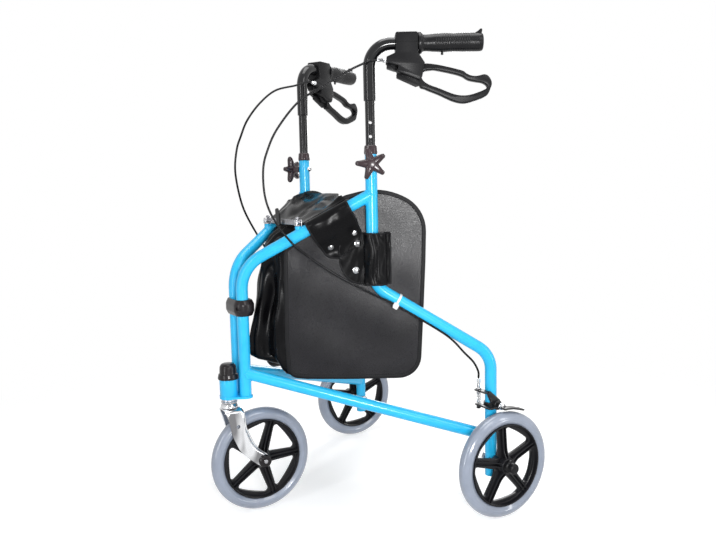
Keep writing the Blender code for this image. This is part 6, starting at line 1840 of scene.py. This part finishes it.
    def gusset(self) -> None:
        """Soft half of the front, bottom and rear: lengthwise pleats between panel and middle fold.

        A point lies between the panel's edge and the middle fold by v, and moves along the
        sheet's normal by a pleat that grows from the panel, plus slow cross waves.
        """
        inset = self.off - self.thick - 0.0002
        front, rear, bottom = self.front + 0.003, self.rear - 0.004, self.bottom + 0.003
        edge = smooth([(0.125, 0.545), (0.095, 0.518), (front + 0.004, 0.5), (front, 0.43),
                       (front - 0.001, 0.35), (front + 0.004, 0.285), (front + 0.018, bottom + 0.003),
                       (0.15, bottom + 0.001), (0.24, bottom), (rear - 0.044, bottom), (rear - 0.014, 0.292),
                       (rear - 0.006, 0.4), (rear - 0.001, 0.48), (rear - 0.01, 0.545)], 150)
        fold = smooth([(0.098, 0.54), (0.07, 0.525), (0.052, 0.494), (0.038, 0.41), (0.022, 0.352),
                       (0.0195, 0.33), (0.0195, 0.309), (0.024, 0.3035), (0.04, 0.3), (0.07, 0.2925),
                       (0.11, 0.2825), (0.2, 0.271), (0.268, 0.27), (0.286, 0.3), (0.29, 0.39), (0.293, 0.48),
                       (0.296, 0.545)], 150)
        rim = np.column_stack([PLAN.post_x + edge[:, 0] * SIN + inset * COS, edge[:, 0] * COS - inset * SIN,
                               edge[:, 1]])
        seam = np.column_stack([np.zeros(150), fold])
        v = np.linspace(0, 1, 44)[None, :, None]
        base = seam[:, None] * (1 - v) + rim[:, None] * v
        normal = unit(np.cross(np.gradient(base, axis=0), np.gradient(base, axis=1)))
        s = np.linspace(0, 1, 150)[:, None, None]
        width = np.linalg.norm(rim - seam, axis=1)[:, None, None]
        pleat = np.sin(2 * np.pi * (1.5 * v + 0.06 * np.sin(9 * s))) * np.clip(width * 0.13, 0.003, 0.008)
        wave = 0.0026 * np.sin(44 * s + 5 * v) + 0.0036 * np.sin(26 * s + 9 * v + 1.5 * np.sin(11 * s))
        calm = 1 - 0.75 * np.exp(-((s - 0.45) / 0.16) ** 2)
        wave = (wave + 0.001 * np.sin(71 * s - 13 * v)) * np.sin(np.pi * v) * calm
        shape = np.sin(np.pi * np.clip(v * 1.02, 0, 1)) ** 0.7
        grid = base + normal * (pleat * shape * 0.8 + wave)
        grid[:, 0, 0] = 0.0
        grid[..., 0] = np.maximum(grid[..., 0], 0.0003)
        grid[..., 0] *= self.side.sign
        mesh = walled(grid, middle_place, self.cloth)
        sheet = self.side.show("gusset_sheet", mesh, VINYL, "side", "bag_vinyl", "bag_gusset", 60.0)
        tuple(self.side.place(np.array([inset, 0.2, 0.4])))
        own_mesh(sheet)

    def lid(self) -> None:
        """Half of the soft lid, from the middle to the top of the slope's tube.

        A point is middle + (tube - middle) * v, and z is raised to clear the panel's top edge
        near v = 0.88, with slanting folds that fade out towards both ends.
        """
        u = np.linspace(0, 1, 60)[:, None]
        v = np.linspace(0, 1, 72)[None]
        slope, radius = PLAN.upper_slope, PLAN.tube + 0.0041
        start, span = self.lid_taper
        past = np.clip((v - start) / span, 0, 1)
        far = 0.262 - 0.033 * past * past * (3 - 2 * past)
        along = 0.139 + (far - 0.139) * u
        out = along * math.cos(slope) - radius * math.sin(slope)
        top = PLAN.post_corner_z + along * math.sin(slope) + radius * math.cos(slope)
        base = top - 0.0045 * (1 - v) - 0.002 * np.clip(u * 2 - 1, 0, 1) * np.sin(np.pi * v)
        edge = np.interp(out, [0.11, 0.14, 0.19, 0.225, 0.262], [0.531, 0.557, 0.601, 0.61, 0.616]) + 0.0024
        beyond = np.where(v > 0.885, np.cos((v - 0.885) / 0.115 * np.pi / 2), 1.0)
        lift = np.maximum(edge - base, 0.0) * np.exp(-((v - 0.885) / 0.1) ** 2) * beyond
        fade = np.sin(np.pi * np.clip(v * 0.94 + 0.06, 0, 1)) * np.sin(np.pi * np.clip(u * 0.9 + 0.08, 0, 1))
        fold = 0.004 * np.sin(8 * u + 6 * v + 1.4 * np.sin(5 * v)) + 0.0017 * np.sin(17 * u - 8 * v)
        z = base + lift + fold * fade
        off = self.lid_off
        x = (PLAN.post_x + out * SIN + off * COS) * v
        y = (out * COS - off * SIN) * np.ones_like(v)
        grid = np.stack([self.side.sign * np.maximum(x, 0.0002), y, z], -1)
        mesh = walled(grid, middle_place, self.cloth)
        sheet = self.side.show("lid_sheet", mesh, VINYL, "side", "bag_vinyl", sharp=60.0)
        tuple(self.side.place(np.array([self.off, 0.2, 0.4])))
        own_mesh(sheet)

    def build(self) -> None:
        """All pieces of one side of the bag."""
        self.panel()
        self.strap("slope_flap", self.flap())
        self.strap("upright_wrap", self.wrap())
        self.studs()
        self.gusset()
        self.lid()


# Studio

@dataclass(frozen=True)
class Studio:
    """Pale floor, soft lamps, and the camera at the photograph's view."""

    eye: tuple = (1.3128, -0.70855, 0.6186)
    yaw: float = math.radians(60.23)
    pitch: float = math.radians(6.33)
    roll: float = math.radians(-1.22)
    focal: float = 743.17
    width: float = 716.0

    def facing(self, right: Array, up: Array, back: Array, place: Sequence) -> Matrix:
        """Matrix of an item at a place, from its three axes."""
        return Matrix([*np.column_stack([right, up, back, place]).tolist(), [0.0, 0.0, 0.0, 1.0]])

    def camera(self) -> None:
        """Camera from the measured eye and angles."""
        ahead = np.array([-math.sin(self.yaw) * math.cos(self.pitch),
                          math.cos(self.yaw) * math.cos(self.pitch), -math.sin(self.pitch)])
        right = unit(np.cross(ahead, (0.0, 0.0, 1.0)))
        up = np.cross(right, ahead)
        cos, sin = math.cos(self.roll), math.sin(self.roll)
        right, up = cos * right + sin * up, cos * up - sin * right
        data = bpy.data.cameras.new("photograph_view")
        data.sensor_width = 36.0
        data.lens = self.focal / self.width * 36.0
        data.clip_end = 60.0
        item = linked(data, "photograph_view")
        item.matrix_world = self.facing(right, up, -ahead, self.eye)
        bpy.context.scene.camera = item

    def lamp(self, name: str, place: Sequence, target: Sequence, size: Sequence, power: float) -> None:
        """Soft lamp of a width and a height that faces a point."""
        data = bpy.data.lights.new(name, "AREA")
        data.shape = "RECTANGLE"
        data.size, data.size_y = size
        data.energy = power
        item = linked(data, name)
        away = unit(np.asarray(place, float) - np.asarray(target, float))
        right = unit(np.cross((0.0, 0.0, 1.0), away))
        item.matrix_world = self.facing(right, np.cross(away, right), away, place)

    def seen(self, nodes: Nodes, light: bpy.types.Node) -> bpy.types.NodeSocket:
        """1 where a camera, glossy or transmission ray meets the surface."""
        most = {"operation": "MAXIMUM"}
        kinds = ("Camera", "Glossy", "Transmission")
        camera, glossy, clear = (light.outputs[f"Is {kind} Ray"] for kind in kinds)
        return nodes.add("Math", most, i0=nodes.add("Math", most, i0=camera, i1=glossy).outputs[0],
                         i1=clear).outputs[0]

    def floor(self) -> None:
        """Wide pale floor that looks white to the camera and keeps the shadow."""
        grid = np.stack(np.meshgrid([-14.0, 14.0], [-14.0, 14.0]), -1)
        grid = np.concatenate([grid, np.full((2, 2, 1), -0.0006)], -1)
        item = linked(Skin(lambda points: points).grid(grid, loop_columns=False).mesh(), "studio_floor")
        material = bpy.data.materials.new("studio_floor")
        nodes = fresh_nodes(material)
        light = nodes.add("LightPath")
        seen = self.seen(nodes, light)
        speck = nodes.add("TexNoise", Scale=8.0).outputs["Fac"]
        tone = nodes.add("Mix", {"data_type": "RGBA"}, i0=speck, i6=(0.8, 0.8, 0.8, 1),
                         i7=(0.82, 0.82, 0.82, 1)).outputs[2]
        shader = nodes.add("BsdfDiffuse", Color=tone).outputs[0]
        glow = nodes.add("Emission", Color=(1, 1, 1, 1), Strength=0.45).outputs[0]
        both = nodes.add("AddShader", i0=shader, i1=glow).outputs[0]
        distance = nodes.add("VectorMath", {"operation": "LENGTH"},
                             i0=nodes.add("TexCoord").outputs["Object"]).outputs["Value"]
        far = nodes.add("MapRange", {"interpolation_type": "SMOOTHSTEP"}, i0=distance, i1=0.55, i2=1.3,
                        i3=0.0, i4=1.0).outputs[0]
        white = nodes.add("Emission", Color=(1, 1, 1, 1), Strength=1.0).outputs[0]
        backdrop = nodes.add("MixShader", i0=far, i1=both, i2=white).outputs[0]
        mixed = nodes.add("MixShader", i0=seen, i1=shader, i2=backdrop).outputs[0]
        mixed = nodes.add("MixShader", i0=light.outputs["Is Glossy Ray"], i1=mixed, i2=white).outputs[0]
        nodes.add("OutputMaterial", Surface=mixed)
        item.data.materials.append(material)

    def world(self) -> None:
        """Even pale surroundings, white to the camera."""
        world = bpy.data.worlds.new("studio")
        bpy.context.scene.world = world
        nodes = fresh_nodes(world)
        seen = self.seen(nodes, nodes.add("LightPath"))
        strength = nodes.add("MapRange", i0=seen, i1=0.0, i2=1.0, i3=0.24, i4=1.0).outputs[0]
        back = nodes.add("Background", Color=(1, 1, 1, 1), Strength=strength).outputs[0]
        nodes.add("OutputWorld", Surface=back)

    def build(self) -> None:
        """Camera, lamps, floor and surroundings."""
        bpy.context.scene.view_settings.view_transform = "Standard"
        self.camera()
        self.floor()
        self.world()
        self.lamp("key_lamp", (1.43, -0.53, 0.585), (0.12, 0.0, 0.5), (0.26, 0.26), 13.0)
        self.lamp("high_lamp", (1.6, 0.3, 1.7), (0.0, 0.0, 0.45), (0.7, 0.7), 6.0)
        self.lamp("left_strip", (0.69, -1.88, 0.8), (0.0, 0.0, 0.62), (0.14, 1.6), 11.0)
        self.lamp("right_strip", (1.75, 1.25, 0.75), (0.0, 0.0, 0.6), (0.16, 1.5), 8.0)
        self.lamp("top_lamp", (0.1, 0.1, 2.4), (0.0, 0.0, 0.4), (1.2, 1.2), 20.0)
        self.lamp("rear_lamp", (-1.6, 1.5, 1.3), (0.0, 0.0, 0.45), (0.8, 1.2), 18.0)


def main() -> None:
    """Build every sub-assembly in order."""
    logging.basicConfig(level=logging.INFO, format="%(message)s")
    Studio().build()
    HeadSet().build()
    Caster().build()
    for side in (Side(1), Side(-1)):
        SteelFrame(side).build()
        RearAxle(side).build()
        Wheel(side.name[:-1], side.name + "wheel", side.wheel_place, phase=math.radians(22)).build()
        Handle(side).build()
        HandBrake(side).build()
        BrakeCable(side).build()
        TyreBrake(side).build()
        Brace(side).build()
        BagSide(side).build()
    pull_tab()
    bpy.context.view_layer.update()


if __name__ == "__main__":
    main()
